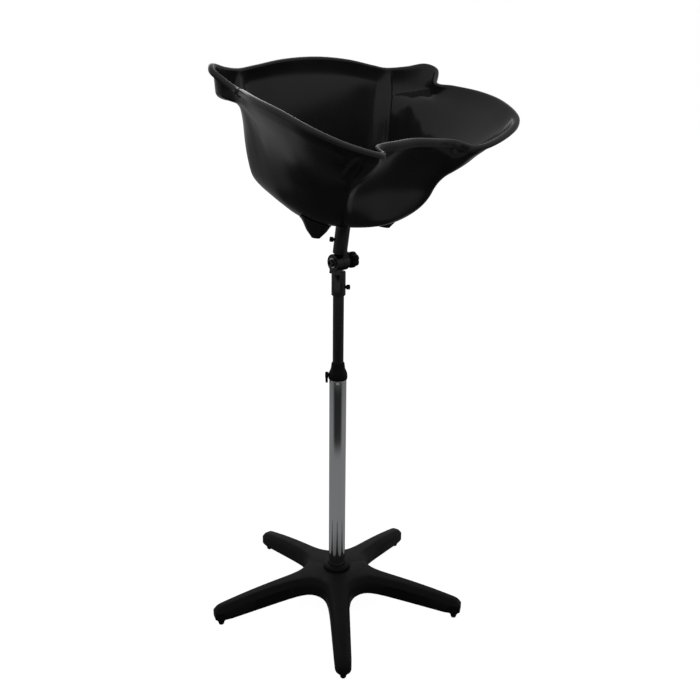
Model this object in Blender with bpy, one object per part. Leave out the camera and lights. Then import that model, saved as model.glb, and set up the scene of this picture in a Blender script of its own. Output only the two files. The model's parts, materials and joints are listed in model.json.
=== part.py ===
"""Portable shampoo bowl on a telescopic mast and a five-arm base.

Metres, +Z up. The floor is z = 0, +X is the bowl's right-hand side, and the neck rest faces -Y.
The tilting head is modelled about its own pivot and then placed by empties, so the bowl, its
spigot and its drain are described upright and lean by REST_TILT in the finished part.
"""

import math

import bmesh
import bpy
import numpy as np
from mathutils import Matrix, Vector

# --- driving dimensions -------------------------------------------------------------------
GAP = 0.0003                # clearance kept between touching pieces
COLUMN_Y = -0.0111          # mast axis, so that the origin is the middle of the footprint
REST_TILT = 10.0            # forward lean of the bowl, degrees
PIVOT_Z = 0.761             # height of the tilt bolt

GLIDE_RADIUS = 0.260        # glide circle of the base
ARM_REACH = 0.274           # arm ends
ARM_COUNT = 5
ARM_HALF_AT_HUB = 0.0240
ARM_HALF_AT_END = 0.0158
ARM_END_TOP = 0.043         # crest height at the arm ends
ARM_END_UNDER = 0.0185      # underside height over the glides
ARM_NOSE = 0.016            # length of the rounded end
CROTCH_RADIUS = 0.073       # where two arms meet
HUB_TOP = 0.084
HUB_UNDER = 0.049

OUTER_TUBE_R = 0.0175
OUTER_TUBE_WALL = 0.0015
OUTER_TUBE_TOP = 0.5190
INNER_TUBE_R = 0.011
INNER_TUBE_WALL = 0.0015
INNER_TUBE_FOOT = 0.225     # lower end of the inner tube

DISC_R = 0.017              # tilt discs of the knuckle
DISC_T = 0.0150
SOCKET_R = 0.014
SOCKET_START = 0.0186       # sockets begin this far from the tilt bolt
SOCKET_FLOOR = 0.0060
BOLT_HOLE_R = 0.0043
UPPER_SOCKET_TOP = 0.075
LOWER_SOCKET_END = 0.066

FLOOR_Z = 0.102             # underside of the bowl floor above the pivot
SHELL_T = 0.0038
LIP_OUT = 0.0070
LIP_DOWN = 0.0085
LIP_RISE = 0.0035
DRAIN_Y = 0.048             # drain axis behind the spigot
DRAIN_R = 0.0180            # hole in the bowl floor

TOWARDS_SCREW_LEFT = 140.0  # azimuth of the height screw and upper thumb screw
TOWARDS_SCREW_RIGHT = -40.0
TOWARDS_FRONT_LEFT = 230.0  # azimuth of the small screw in the chrome tube


# --- materials ----------------------------------------------------------------------------
def material(name, colour, roughness, metallic=0.0):
    made = bpy.data.materials.new(name)
    made.use_nodes = True
    shader = made.node_tree.nodes["Principled BSDF"]
    shader.inputs["Base Color"].default_value = (*colour, 1.0)
    shader.inputs["Roughness"].default_value = roughness
    shader.inputs["Metallic"].default_value = metallic
    return made


def make_materials():
    return {
        "gloss": material("gloss_black_abs", (0.012, 0.012, 0.013), 0.12),
        "nylon": material("matte_black_nylon", (0.016, 0.016, 0.017), 0.55),
        "chrome": material("chrome", (0.62, 0.63, 0.65), 0.08, 1.0),
        "painted": material("black_painted_steel", (0.020, 0.020, 0.022), 0.30),
        "zinc": material("zinc_steel", (0.55, 0.56, 0.58), 0.32, 1.0),
        "rubber": material("black_rubber", (0.02, 0.02, 0.02), 0.8),
    }


# --- mesh helpers -------------------------------------------------------------------------
def add_object(name, bm, mat, parent=None, place=None, smooth=True):
    """Turn a bmesh into one named object with outward faces."""
    bmesh.ops.remove_doubles(bm, verts=bm.verts, dist=1e-6)
    bmesh.ops.recalc_face_normals(bm, faces=bm.faces)
    mesh = bpy.data.meshes.new(name)
    bm.to_mesh(mesh)
    bm.free()
    if smooth:
        mesh.shade_smooth()
        mesh.set_sharp_from_angle(angle=math.radians(35))
    mesh.materials.append(mat)
    made = bpy.data.objects.new(name, mesh)
    bpy.context.scene.collection.objects.link(made)
    if parent is not None:
        made.parent = parent
    if place is not None:
        made.matrix_local = place
    return made


def turned(profile, segments=24):
    """Solid of revolution about +Z from a closed (radius, height) outline."""
    bm = bmesh.new()
    rings = []
    for radius, height in profile:
        if radius < 1e-7:
            rings.append([bm.verts.new((0.0, 0.0, height))])
            continue
        ring = []
        for i in range(segments):
            a = 2 * math.pi * i / segments
            ring.append(bm.verts.new((radius * math.cos(a), radius * math.sin(a), height)))
        rings.append(ring)
    closed = rings[0][0].co.xy.length > 1e-7
    pairs = list(zip(rings, rings[1:]))
    if closed:
        pairs.append((rings[-1], rings[0]))
    for low, high in pairs:
        for i in range(segments):
            j = (i + 1) % segments
            corners = [low[i % len(low)], low[j % len(low)], high[j % len(high)], high[i % len(high)]]
            unique = list(dict.fromkeys(corners))
            if len(unique) > 2:
                bm.faces.new(unique)
    return bm


def lofted(rings, cap_start=True, cap_end=True):
    """Skin a list of equal rings; caps are single faces."""
    bm = bmesh.new()
    loops = [[bm.verts.new(p) for p in ring] for ring in rings]
    count = len(loops[0])
    for low, high in zip(loops, loops[1:]):
        for i in range(count):
            j = (i + 1) % count
            bm.faces.new((low[i], low[j], high[j], high[i]))
    if cap_start:
        bm.faces.new(list(reversed(loops[0])))
    if cap_end:
        bm.faces.new(loops[-1])
    return bm


def tube_profile(outer, inner, low, high):
    return [(outer, low), (outer, high), (inner, high), (inner, low)]


def rod(radius, low, high, segments=12):
    """Plain cylinder about +Z."""
    return turned([(0, low), (radius, low), (radius, high), (0, high)], segments)


def along_x(x=0.0, y=0.0, z=0.0):
    """Place a +Z solid so that its axis runs along +X."""
    return Matrix.Translation((x, y, z)) @ Matrix.Rotation(math.radians(90), 4, "Y")


def radial(azimuth, radius, z):
    """Place a +Z solid so that its axis points away from the mast at the given azimuth."""
    turn = Matrix.Rotation(math.radians(azimuth), 4, "Z")
    return turn @ Matrix.Translation((radius, 0, z)) @ Matrix.Rotation(math.radians(90), 4, "Y")


def cutter(name, bm, parent=None, place=None):
    made = add_object(name, bm, None, parent, place, smooth=False)
    made.data.materials.clear()
    made.hide_render = True
    made.display_type = "WIRE"
    return made


def boolean(target, other, operation):
    step = target.modifiers.new(operation.lower(), "BOOLEAN")
    step.operation = operation
    step.solver = "EXACT"
    step.object = other
    return step


def empty(name, parent=None, place=None):
    made = bpy.data.objects.new(name, None)
    bpy.context.scene.collection.objects.link(made)
    made.parent = parent
    if place is not None:
        made.matrix_local = place
    return made


# --- base ---------------------------------------------------------------------------------
def smooth_step(t):
    t = min(max(t, 0.0), 1.0)
    return t * t * (3 - 2 * t)


def arm_half_width(a):
    return ARM_HALF_AT_HUB + (ARM_HALF_AT_END - ARM_HALF_AT_HUB) * min(a / ARM_REACH, 1.0)


def arm_top(a):
    """Height of the arm's crest: level at the hub, then arching down to the end."""
    t = min(max((a - 0.036) / (ARM_REACH - 0.036), 0.0), 1.0)
    return HUB_TOP - (HUB_TOP - ARM_END_TOP) * (0.45 * t + 0.55 * t * t)


def arm_under(a):
    """Height of the arm's underside: level at the hub and again over the glide."""
    t = min(max((a - 0.050) / (GLIDE_RADIUS - 0.015 - 0.050), 0.0), 1.0)
    return HUB_UNDER - (HUB_UNDER - ARM_END_UNDER) * t


def arm_edge(a):
    """Half width of the arm with the fillet that runs into its neighbour."""
    half_angle = math.pi / ARM_COUNT
    a_crotch = CROTCH_RADIUS * math.cos(half_angle)
    w_crotch = CROTCH_RADIUS * math.sin(half_angle)
    extra = w_crotch - arm_half_width(a_crotch)
    decay = extra / (1 / math.tan(half_angle))
    width = arm_half_width(a) + extra * math.exp(-(a - a_crotch) / decay)
    end = (a - (ARM_REACH - ARM_NOSE)) / ARM_NOSE
    if end > 0:
        width *= math.sqrt(max(1 - 0.62 * end * end, 0.0))
    return width


def arm_stations():
    """(axial position at the centre line, axial position and half width at the edge)."""
    half_angle = math.pi / ARM_COUNT
    bore = OUTER_TUBE_R + GAP
    stations = []
    for t in (0.0, 0.45, 1.0):
        radius = bore + (CROTCH_RADIUS - bore) * t
        edge = (radius * math.cos(half_angle), radius * math.sin(half_angle))
        centre = bore + (CROTCH_RADIUS * 0.96 - bore) * t
        stations.append((centre, edge[0], edge[1], True))
    a_crotch = CROTCH_RADIUS * math.cos(half_angle)
    for a in (0.069, 0.084, 0.115, 0.165, 0.215, 0.256, 0.267, ARM_REACH):
        centre = max(a, CROTCH_RADIUS * 0.96 + (a - a_crotch) * 0.75)
        centre = a if a > 0.12 else centre
        stations.append((min(centre, ARM_REACH), a, arm_edge(a), False))
    return stations


ACROSS = (-1.0, -0.82, -0.50, 0.0, 0.50, 0.82, 1.0)
BEVEL_DROP = (0.0160, 0.0050, 0.0006, 0.0, 0.0006, 0.0050, 0.0160)


def star_base(mat):
    bm = bmesh.new()
    stations = arm_stations()
    bore = OUTER_TUBE_R + GAP
    for arm in range(ARM_COUNT):
        turn = Matrix.Rotation(2 * math.pi * arm / ARM_COUNT + math.pi / 2, 3, "Z")
        top, under = [], []
        for centre, edge_a, edge_w, inside in stations:
            row_top, row_under = [], []
            for t, drop in zip(ACROSS, BEVEL_DROP):
                if inside and centre <= bore + 1e-6:
                    angle = t * math.pi / ARM_COUNT
                    x, y = bore * math.cos(angle), bore * math.sin(angle)
                else:
                    x = centre + (edge_a - centre) * t * t
                    y = edge_w * t
                radius = math.hypot(x, y)
                blend = smooth_step((radius - 0.030) / 0.045)
                if inside:
                    blend *= 1.0 - (1.0 - abs(t)) * 0.2
                sink = drop * blend
                crest = arm_top(radius)
                row_top.append(bm.verts.new(turn @ Vector((x, y, crest - sink))))
                row_under.append(bm.verts.new(turn @ Vector((x, y, arm_under(radius)))))
            top.append(row_top)
            under.append(row_under)
        last = len(ACROSS) - 1
        for s in range(len(stations) - 1):
            for i in range(last):
                bm.faces.new((top[s][i], top[s][i + 1], top[s + 1][i + 1], top[s + 1][i]))
                bm.faces.new((under[s][i], under[s + 1][i], under[s + 1][i + 1], under[s][i + 1]))
            if stations[s + 1][3]:
                continue
            for i in (0, last):
                bm.faces.new((top[s][i], top[s + 1][i], under[s + 1][i], under[s][i]))
        for i in range(last):
            bm.faces.new((top[-1][i], top[-1][i + 1], under[-1][i + 1], under[-1][i]))
            bm.faces.new((top[0][i], under[0][i], under[0][i + 1], top[0][i + 1]))
    bmesh.ops.remove_doubles(bm, verts=bm.verts, dist=1e-5)
    return add_object("star_base", bm, mat)


def glide(name, arm, mat):
    angle = 2 * math.pi * arm / ARM_COUNT + math.pi / 2
    top = arm_under(GLIDE_RADIUS) - GAP
    profile = [(0, 0), (0.0042, 0), (0.0058, 0.0020), (0.0066, 0.0070), (0.0098, 0.0110)]
    profile += [(0.0104, top - 0.0012), (0.0094, top - 0.0006), (0, top - 0.0006)]
    place = Matrix.Translation((GLIDE_RADIUS * math.cos(angle), GLIDE_RADIUS * math.sin(angle), 0))
    return add_object(name, turned(profile, 16), mat, place=place)


def base_fasteners(mats):
    washer_top = HUB_UNDER - GAP
    washer = tube_profile(0.0240, 0.0056, washer_top - 0.0025, washer_top)
    add_object("base_washer", turned(washer, 32), mats["zinc"])
    head_top = washer_top - 0.0025 - GAP
    bolt = [(0, head_top - 0.0065), (0.0085, head_top - 0.0065), (0.0085, head_top)]
    bolt += [(0.0050, head_top), (0.0050, 0.068), (0.0042, 0.069), (0, 0.069)]
    add_object("base_bolt", turned(bolt, 12), mats["zinc"])
    plug_r = OUTER_TUBE_R - OUTER_TUBE_WALL - GAP
    plug = tube_profile(plug_r, 0.0053, HUB_UNDER + 0.001, 0.066)
    add_object("tube_end_plug", turned(plug, 32), mats["zinc"])


def mast(mats, mast_body):
    outer_bore = OUTER_TUBE_R - OUTER_TUBE_WALL
    outer = tube_profile(OUTER_TUBE_R, outer_bore, HUB_UNDER + 0.0005, OUTER_TUBE_TOP)
    add_object("outer_tube", turned(outer, 32), mats["chrome"])
    ring_in = OUTER_TUBE_R + GAP
    ring = [(ring_in, HUB_TOP + GAP), (0.0290, HUB_TOP + GAP), (0.0292, HUB_TOP + 0.0030)]
    ring += [(0.0270, HUB_TOP + 0.0062), (0.0205, HUB_TOP + 0.0078), (ring_in, HUB_TOP + 0.0078)]
    add_object("hub_ring", turned(ring, 32), mats["nylon"])
    inner_bore = INNER_TUBE_R - INNER_TUBE_WALL
    inner = tube_profile(INNER_TUBE_R, inner_bore, INNER_TUBE_FOOT, PIVOT_Z - 0.026)
    add_object("inner_tube", turned(inner, 32), mats["painted"], mast_body)
    shoe_r = outer_bore - GAP
    shoe = [(0, INNER_TUBE_FOOT - 0.006), (shoe_r - 0.001, INNER_TUBE_FOOT - 0.006)]
    shoe += [(shoe_r, INNER_TUBE_FOOT - 0.005), (shoe_r, INNER_TUBE_FOOT + 0.022)]
    shoe += [(INNER_TUBE_R + GAP, INNER_TUBE_FOOT + 0.022), (INNER_TUBE_R + GAP, INNER_TUBE_FOOT - GAP)]
    shoe += [(0, INNER_TUBE_FOOT - GAP)]
    add_object("inner_tube_shoe", turned(shoe, 32), mats["nylon"], mast_body)


def height_collar(mats, column):
    inside = INNER_TUBE_R + GAP
    plug_r = OUTER_TUBE_R - OUTER_TUBE_WALL - GAP
    top = OUTER_TUBE_TOP + GAP
    profile = [(inside, top - 0.034), (plug_r, top - 0.034), (plug_r, top), (0.0190, top)]
    profile += [(0.0194, top + 0.0070), (0.0186, top + 0.0130), (0.0145, top + 0.0230)]
    profile += [(0.0132, top + 0.0340), (0.0125, top + 0.0355), (inside, top + 0.0355)]
    collar = add_object("height_collar", turned(profile, 32), mats["nylon"], column)
    screw_z = OUTER_TUBE_TOP + 0.0085
    hole = cutter("height_screw_hole", rod(0.0034, 0.0, 0.03, 16), column,
                  radial(TOWARDS_SCREW_LEFT, 0.005, screw_z))
    boolean(collar, hole, "DIFFERENCE")
    knob = [(0, INNER_TUBE_R + GAP), (0.0030, INNER_TUBE_R + GAP), (0.0030, 0.0198), (0.0058, 0.0198)]
    knob += [(0.0066, 0.0206), (0.0066, 0.0250), (0.0056, 0.0260), (0, 0.0260)]
    knob = add_object("height_knob", turned(knob, 20), mats["nylon"], column,
                      radial(TOWARDS_SCREW_LEFT, 0, screw_z))
    wing_rings = []
    for x, half_w, low, high in ((0.0, 0.0052, 0.0203, 0.0254), (0.008, 0.0044, 0.0210, 0.0248),
                                 (0.016, 0.0050, 0.0212, 0.0246)):
        corners = ((-half_w, low), (half_w, low), (half_w, high), (-half_w, high))
        wing_rings.append([(x, y, z) for y, z in corners])
    wing = cutter("height_knob_wing", lofted(wing_rings), column,
                  radial(TOWARDS_SCREW_LEFT, 0, screw_z))
    boolean(knob, wing, "UNION")
    rivet = [(0, OUTER_TUBE_R + GAP), (0.0030, OUTER_TUBE_R + GAP), (0.0027, 0.0190)]
    rivet += [(0.0014, 0.0197), (0, 0.0198)]
    add_object("collar_rivet", turned(rivet, 16), mats["zinc"], column,
               radial(TOWARDS_FRONT_LEFT, 0, OUTER_TUBE_TOP - 0.0055))


# --- knuckle ------------------------------------------------------------------------------
def thumb_screw(name, azimuth, z, mats, parent):
    profile = [(0, INNER_TUBE_R + GAP), (0.0029, INNER_TUBE_R + GAP), (0.0029, SOCKET_R + 0.0010)]
    profile += [(0.0036, SOCKET_R + 0.0010), (0.0050, SOCKET_R + 0.0032), (0.0050, SOCKET_R + 0.0075)]
    profile += [(0.0040, SOCKET_R + 0.0088), (0, SOCKET_R + 0.0090)]
    return add_object(name, turned(profile, 16), mats["nylon"], parent, radial(azimuth, 0, z))


def knuckle_half(name, side, socket_far, screw_azimuth, screw_z, mats, parent):
    """One half of the tilting joint: a disc beside the bolt and a socket on the mast axis."""
    direction = 1 if socket_far > 0 else -1
    closed_end = direction * SOCKET_START
    blind = direction * (SOCKET_START + SOCKET_FLOOR)
    bore = INNER_TUBE_R + GAP
    profile = [(0, closed_end), (SOCKET_R, closed_end), (SOCKET_R, socket_far)]
    profile += [(bore, socket_far), (bore, blind), (0, blind)]
    body = add_object(name, turned(profile, 24), mats["painted"], parent)
    low, high = sorted((side * GAP, side * DISC_T))
    disc_profile = [(0, low), (DISC_R - 0.001, low), (DISC_R, low + 0.001), (DISC_R, high - 0.001)]
    disc_profile += [(DISC_R - 0.001, high), (0, high)]
    disc = cutter(name + "_disc", turned(disc_profile, 24), parent, along_x())
    x0, x1 = sorted((side * GAP, side * (SOCKET_R - 0.0006)))
    half_y = 0.0105
    z0, z1 = sorted((direction * 0.002, direction * 0.0225))
    corners = ((x0, -half_y), (x1, -half_y), (x1, half_y), (x0, half_y))
    rings = [[(x, y, z) for x, y in corners] for z in (z0, z1)]
    neck = cutter(name + "_neck", lofted(rings), parent)
    bolt_hole = cutter(name + "_bolt_hole", rod(BOLT_HOLE_R, -0.03, 0.03), parent, along_x())
    screw_hole = cutter(name + "_screw_hole", rod(0.0032, 0.006, 0.02), parent,
                        radial(screw_azimuth, 0, screw_z))
    boolean(body, disc, "UNION")
    boolean(body, neck, "UNION")
    boolean(body, bolt_hole, "DIFFERENCE")
    boolean(body, screw_hole, "DIFFERENCE")
    return body


def lobed_ring(radius, depth, lobes, z, count=36):
    points = []
    for i in range(count):
        a = 2 * math.pi * i / count
        r = radius - depth * (0.5 - 0.5 * math.cos(lobes * a)) ** 2
        points.append((r * math.cos(a), r * math.sin(a), z))
    return points


def tilt_fasteners(mats, head):
    washer_end = DISC_T + 0.0016
    washer = tube_profile(0.0100, 0.0044, DISC_T + GAP, washer_end)
    about = along_x() @ Matrix.Rotation(math.pi, 4, "X")
    add_object("tilt_washer_left", turned(washer, 24), mats["zinc"], head, about)
    add_object("tilt_washer_right", turned(washer, 24), mats["zinc"], head, along_x())
    face = washer_end + GAP
    bolt = [(0, -face - 0.0055), (0.0068, -face - 0.0055), (0.0075, -face - 0.0048), (0.0075, -face)]
    bolt += [(0.0040, -face), (0.0040, 0.0310), (0, 0.0310)]
    add_object("tilt_bolt", turned(bolt, 24), mats["painted"], head, along_x())
    rings = [lobed_ring(0.0090, 0.0, 6, face), lobed_ring(0.0094, 0.0, 6, face + 0.0075)]
    rings += [lobed_ring(0.0145, 0.0022, 6, face + 0.0095), lobed_ring(0.0150, 0.0024, 6, face + 0.0215)]
    rings += [lobed_ring(0.0136, 0.0022, 6, face + 0.0238), lobed_ring(0.0060, 0.0, 6, face + 0.0250)]
    knob = add_object("tilt_knob", lofted(rings), mats["nylon"], head, along_x())
    hole = cutter("tilt_knob_hole", rod(BOLT_HOLE_R, 0.0, 0.0316, 20), head, along_x())
    boolean(knob, hole, "DIFFERENCE")


# --- bowl ---------------------------------------------------------------------------------
# Half outlines from the middle of the back round to the middle of the neck rest, as
# (half width, forward, up) from the tilt bolt with the bowl leaning as it stands.
# Order: back middle, back, back end, kink, ear back, ear tip, ear end, notch, four lobe points,
# lobe front, step, neck corner, neck, neck middle.
RIM = [
    (0.000, -0.0765, 0.3730), (0.075, -0.0760, 0.3685), (0.138, -0.0745, 0.3580), (0.172, -0.0725, 0.3530),
    (0.213, -0.0565, 0.3555), (0.250, -0.0370, 0.3610), (0.262, -0.0120, 0.3515), (0.238, 0.0140, 0.3255),
    (0.247, 0.0480, 0.3215), (0.2620, 0.1080, 0.3120), (0.2590, 0.1700, 0.2965), (0.234, 0.2290, 0.2710),
    (0.178, 0.2490, 0.2475), (0.104, 0.2460, 0.2300), (0.087, 0.2120, 0.2375), (0.042, 0.2080, 0.2415),
    (0.000, 0.2050, 0.2435),
]
SHELF_WALL = [
    (0.000, -0.0755, 0.3530), (0.075, -0.0750, 0.3500), (0.138, -0.0738, 0.3420), (0.172, -0.0710, 0.3360),
    (0.211, -0.0540, 0.3320), (0.241, -0.0360, 0.3330), (0.248, -0.0110, 0.3300), (0.233, 0.0110, 0.3140),
    (0.238, 0.0460, 0.3090), (0.2490, 0.1040, 0.2980), (0.2440, 0.1610, 0.2820), (0.220, 0.2150, 0.2570),
    (0.170, 0.2350, 0.2355), (0.104, 0.2350, 0.2200), (0.087, 0.2030, 0.2270), (0.041, 0.1990, 0.2310),
    (0.000, 0.1960, 0.2335),
]
SHELF = [
    (0.000, -0.0750, 0.3300), (0.075, -0.0745, 0.3270), (0.139, -0.0735, 0.3200), (0.173, -0.0700, 0.3120),
    (0.210, -0.0530, 0.3080), (0.240, -0.0350, 0.3070), (0.246, -0.0100, 0.3070), (0.230, 0.0110, 0.3020),
    (0.230, 0.0440, 0.2940), (0.2350, 0.0990, 0.2800), (0.2290, 0.1500, 0.2640), (0.206, 0.1960, 0.2420),
    (0.161, 0.2150, 0.2230), (0.105, 0.2210, 0.2080), (0.083, 0.1970, 0.2110), (0.041, 0.1880, 0.2190),
    (0.000, 0.1860, 0.2220),
]
SHELF_EDGE = [
    (0.000, -0.0745, 0.2850), (0.074, -0.0740, 0.2850), (0.140, -0.0733, 0.2840), (0.167, -0.0660, 0.2880),
    (0.182, -0.0450, 0.2980), (0.191, -0.0260, 0.3010), (0.197, -0.0060, 0.3000), (0.203, 0.0140, 0.2910),
    (0.208, 0.0420, 0.2680), (0.2100, 0.0920, 0.2500), (0.2010, 0.1330, 0.2330), (0.179, 0.1700, 0.2140),
    (0.147, 0.1890, 0.1990), (0.108, 0.1990, 0.1900), (0.084, 0.1790, 0.1920), (0.040, 0.1720, 0.1980),
    (0.000, 0.1700, 0.2000),
]
WAIST = [
    (0.000, -0.0740, 0.2100), (0.072, -0.0738, 0.2100), (0.136, -0.0730, 0.2100), (0.163, -0.0670, 0.2100),
    (0.173, -0.0460, 0.2100), (0.177, -0.0220, 0.2100), (0.178, 0.0000, 0.2080), (0.178, 0.0210, 0.2050),
    (0.175, 0.0430, 0.2000), (0.1670, 0.0790, 0.1920), (0.1550, 0.1080, 0.1830), (0.136, 0.1310, 0.1750),
    (0.121, 0.1440, 0.1700), (0.107, 0.1530, 0.1650), (0.085, 0.1480, 0.1650), (0.040, 0.1450, 0.1650),
    (0.000, 0.1440, 0.1650),
]
BODY = [
    (0.000, -0.0730, 0.1550), (0.068, -0.0725, 0.1550), (0.124, -0.0705, 0.1550), (0.149, -0.0620, 0.1550),
    (0.158, -0.0420, 0.1530), (0.161, -0.0200, 0.1500), (0.161, 0.0010, 0.1460), (0.159, 0.0210, 0.1430),
    (0.154, 0.0420, 0.1400), (0.1440, 0.0740, 0.1340), (0.1310, 0.0990, 0.1290), (0.116, 0.1170, 0.1250),
    (0.107, 0.1270, 0.1220), (0.099, 0.1330, 0.1200), (0.080, 0.1320, 0.1190), (0.040, 0.1310, 0.1180),
    (0.000, 0.1300, 0.1180),
]
RIM_STEPS = 2               # curve points between two outline points
WALL_LEVELS = 11


def catmull(points, steps):
    """Closed curve through the points, with a centripetal spacing so that tight corners stay tight."""
    count = len(points)
    out = []
    for i in range(count):
        p = [np.array(points[(i + k - 1) % count], float) for k in range(4)]
        knots = [0.0]
        for a, b in zip(p, p[1:]):
            knots.append(knots[-1] + max(np.linalg.norm(b - a), 1e-6) ** 0.5)
        t0, t1, t2, t3 = knots
        for s in range(steps):
            t = t1 + (t2 - t1) * s / steps
            a1 = (t1 - t) / (t1 - t0) * p[0] + (t - t0) / (t1 - t0) * p[1]
            a2 = (t2 - t) / (t2 - t1) * p[1] + (t - t1) / (t2 - t1) * p[2]
            a3 = (t3 - t) / (t3 - t2) * p[2] + (t - t2) / (t3 - t2) * p[3]
            b1 = (t2 - t) / (t2 - t0) * a1 + (t - t0) / (t2 - t0) * a2
            b2 = (t3 - t) / (t3 - t1) * a2 + (t - t1) / (t3 - t1) * a3
            out.append((t2 - t) / (t2 - t1) * b1 + (t - t1) / (t2 - t1) * b2)
    return out


def mirrored(half):
    """Whole outline, counter-clockwise from the middle of the back, in the bowl's upright frame."""
    lean = math.radians(REST_TILT)
    def upright(x, forward, up):
        level = forward * math.cos(lean) - up * math.sin(lean)
        height = forward * math.sin(lean) + up * math.cos(lean)
        return (x, -level, height)
    left = [upright(-x, f, z) for x, f, z in half]
    right = [upright(x, f, z) for x, f, z in reversed(half[1:-1])]
    return left + right


def ellipse_outline(count, centre_y, half_x, half_y, z):
    """Outline with one point for each outline point of the walls, starting at the back."""
    points = []
    for i in range(count):
        a = math.pi / 2 + 2 * math.pi * i / count
        points.append((half_x * math.cos(a), centre_y + half_y * math.sin(a), z))
    return points


def wall_grid(rim_steps, levels):
    """Outer face of the bowl as rows of points, from the rim down to the drain hole."""
    count = 2 * len(RIM) - 2
    outlines = [mirrored(half) for half in (RIM, SHELF_WALL, SHELF, SHELF_EDGE, WAIST, BODY)]
    outlines.append(ellipse_outline(count, -0.012, 0.116, 0.092, FLOOR_Z + 0.0040))
    outlines.append(ellipse_outline(count, -0.004, 0.088, 0.078, FLOOR_Z))
    outlines.append(ellipse_outline(count, DRAIN_Y * 0.5, 0.045, 0.042, FLOOR_Z))
    curves = [np.array(catmull(outline, rim_steps)) for outline in outlines]
    curves[0] = curves[0] - rim_outward(curves[0]) * LIP_OUT + np.array([0, 0, LIP_RISE])
    net = [curves[0]] + curves[1:] + [curves[-1]]
    rows = []
    spans = len(net) - 2
    for k in range(levels):
        u = spans * (k / (levels - 1)) ** 0.92
        i = min(int(u), spans - 1)
        t = u - i
        a, b, c = net[i], net[i + 1], net[i + 2]
        start = a if i == 0 else (a + b) / 2
        end = (b + c) / 2 if i < spans - 1 else b
        rows.append((1 - t) ** 2 * start + 2 * t * (1 - t) * b + t * t * end)
    return rows


def grid_normals(rows):
    """Outward unit normals of a grid of closed rows."""
    stack = np.array(rows)
    along = np.roll(stack, -1, axis=1) - np.roll(stack, 1, axis=1)
    down = np.gradient(stack, axis=0)
    normals = np.cross(down, along)
    return normals / np.maximum(np.linalg.norm(normals, axis=2, keepdims=True), 1e-9)


def rim_outward(row, spread=3):
    """Horizontal outward direction along the rim, eased over tight corners."""
    along = np.roll(row, -1, axis=0) - np.roll(row, 1, axis=0)
    out = np.stack([along[:, 1], -along[:, 0], np.zeros(len(row))], axis=1)
    out /= np.maximum(np.linalg.norm(out, axis=1, keepdims=True), 1e-9)
    for _ in range(spread):
        out = (np.roll(out, 1, axis=0) + 2 * out + np.roll(out, -1, axis=0)) / 4
    return out if out[0][1] > 0 else -out


def bowl_rings(rim_steps, levels):
    rows = wall_grid(rim_steps, levels)
    normals = grid_normals(rows)
    sign = 1.0 if normals[levels // 2][0][1] > 0 else -1.0
    normals = normals * sign
    rim = rows[0]
    out = rim_outward(rim)
    up = np.array([0.0, 0.0, 1.0])
    inner = [row - n * SHELL_T for row, n in zip(rows[1:], normals[1:])]
    drain = []
    for z in (FLOOR_Z + SHELL_T, FLOOR_Z):
        ring = ellipse_outline(len(rim), DRAIN_Y, DRAIN_R, DRAIN_R, z)
        drain.append(np.array(ring))
    lip = [
        rim - out * SHELL_T - up * 0.0020,
        rim - out * 0.0022,
        rim + out * 0.0025 + up * 0.0008,
        rim + out * 0.0064 - up * 0.0010,
        rim + out * LIP_OUT - up * 0.0040,
        rim + out * LIP_OUT - up * LIP_DOWN,
        rim + out * 0.0058 - up * LIP_DOWN,
        rim + out * 0.0050 - up * 0.0048,
    ]
    return drain[:1] + inner[::-1] + lip + rows[1:] + drain[1:]


def bowl_shell(mats, bowl_axis):
    rings = bowl_rings(RIM_STEPS, WALL_LEVELS)
    bm = bmesh.new()
    loops = [[bm.verts.new(p) for p in ring] for ring in rings]
    count = len(loops[0])
    for a, b in zip(loops, loops[1:] + loops[:1]):
        for i in range(count):
            j = (i + 1) % count
            bm.faces.new((a[i], a[j], b[j], b[i]))
    return add_object("bowl_shell", bm, mats["gloss"], bowl_axis)


def bowl_space(bowl_axis):
    """Cutter: everything inside the bowl's outer face, and the clearance to it."""
    rows = wall_grid(RIM_STEPS, WALL_LEVELS)
    normals = grid_normals(rows)
    if normals[WALL_LEVELS // 2][0][1] < 0:
        normals = -normals
    clear = 2 * GAP
    rings = [row + n * clear for row, n in zip(rows, normals)]
    rings[-1] = rows[-1] - np.array([0, 0, clear])
    return cutter("bowl_space", lofted(rings), bowl_axis)


def bowl_foot(name, side, mats, bowl_axis, space):
    """Tapered foot under the floor, its long side turned outwards towards the neck."""
    rings = []
    for z, half_l, half_w in ((0.0708, 0.0115, 0.0080), (0.0728, 0.0130, 0.0095),
                              (0.0860, 0.0220, 0.0195), (0.1250, 0.0390, 0.0390)):
        ring = []
        for i in range(16):
            a = 2 * math.pi * i / 16
            x = math.copysign(abs(math.cos(a)) ** 0.5, math.cos(a))
            y = math.copysign(abs(math.sin(a)) ** 0.5, math.sin(a))
            ring.append((half_l * x, half_w * y, z))
        rings.append(ring)
    turn = Matrix.Rotation(math.radians(-50 if side > 0 else -130), 4, "Z")
    place = Matrix.Translation((side * 0.083, -0.024, 0)) @ turn
    foot = add_object(name, lofted(rings), mats["gloss"], bowl_axis, place)
    boolean(foot, space, "DIFFERENCE")
    return foot


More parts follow.
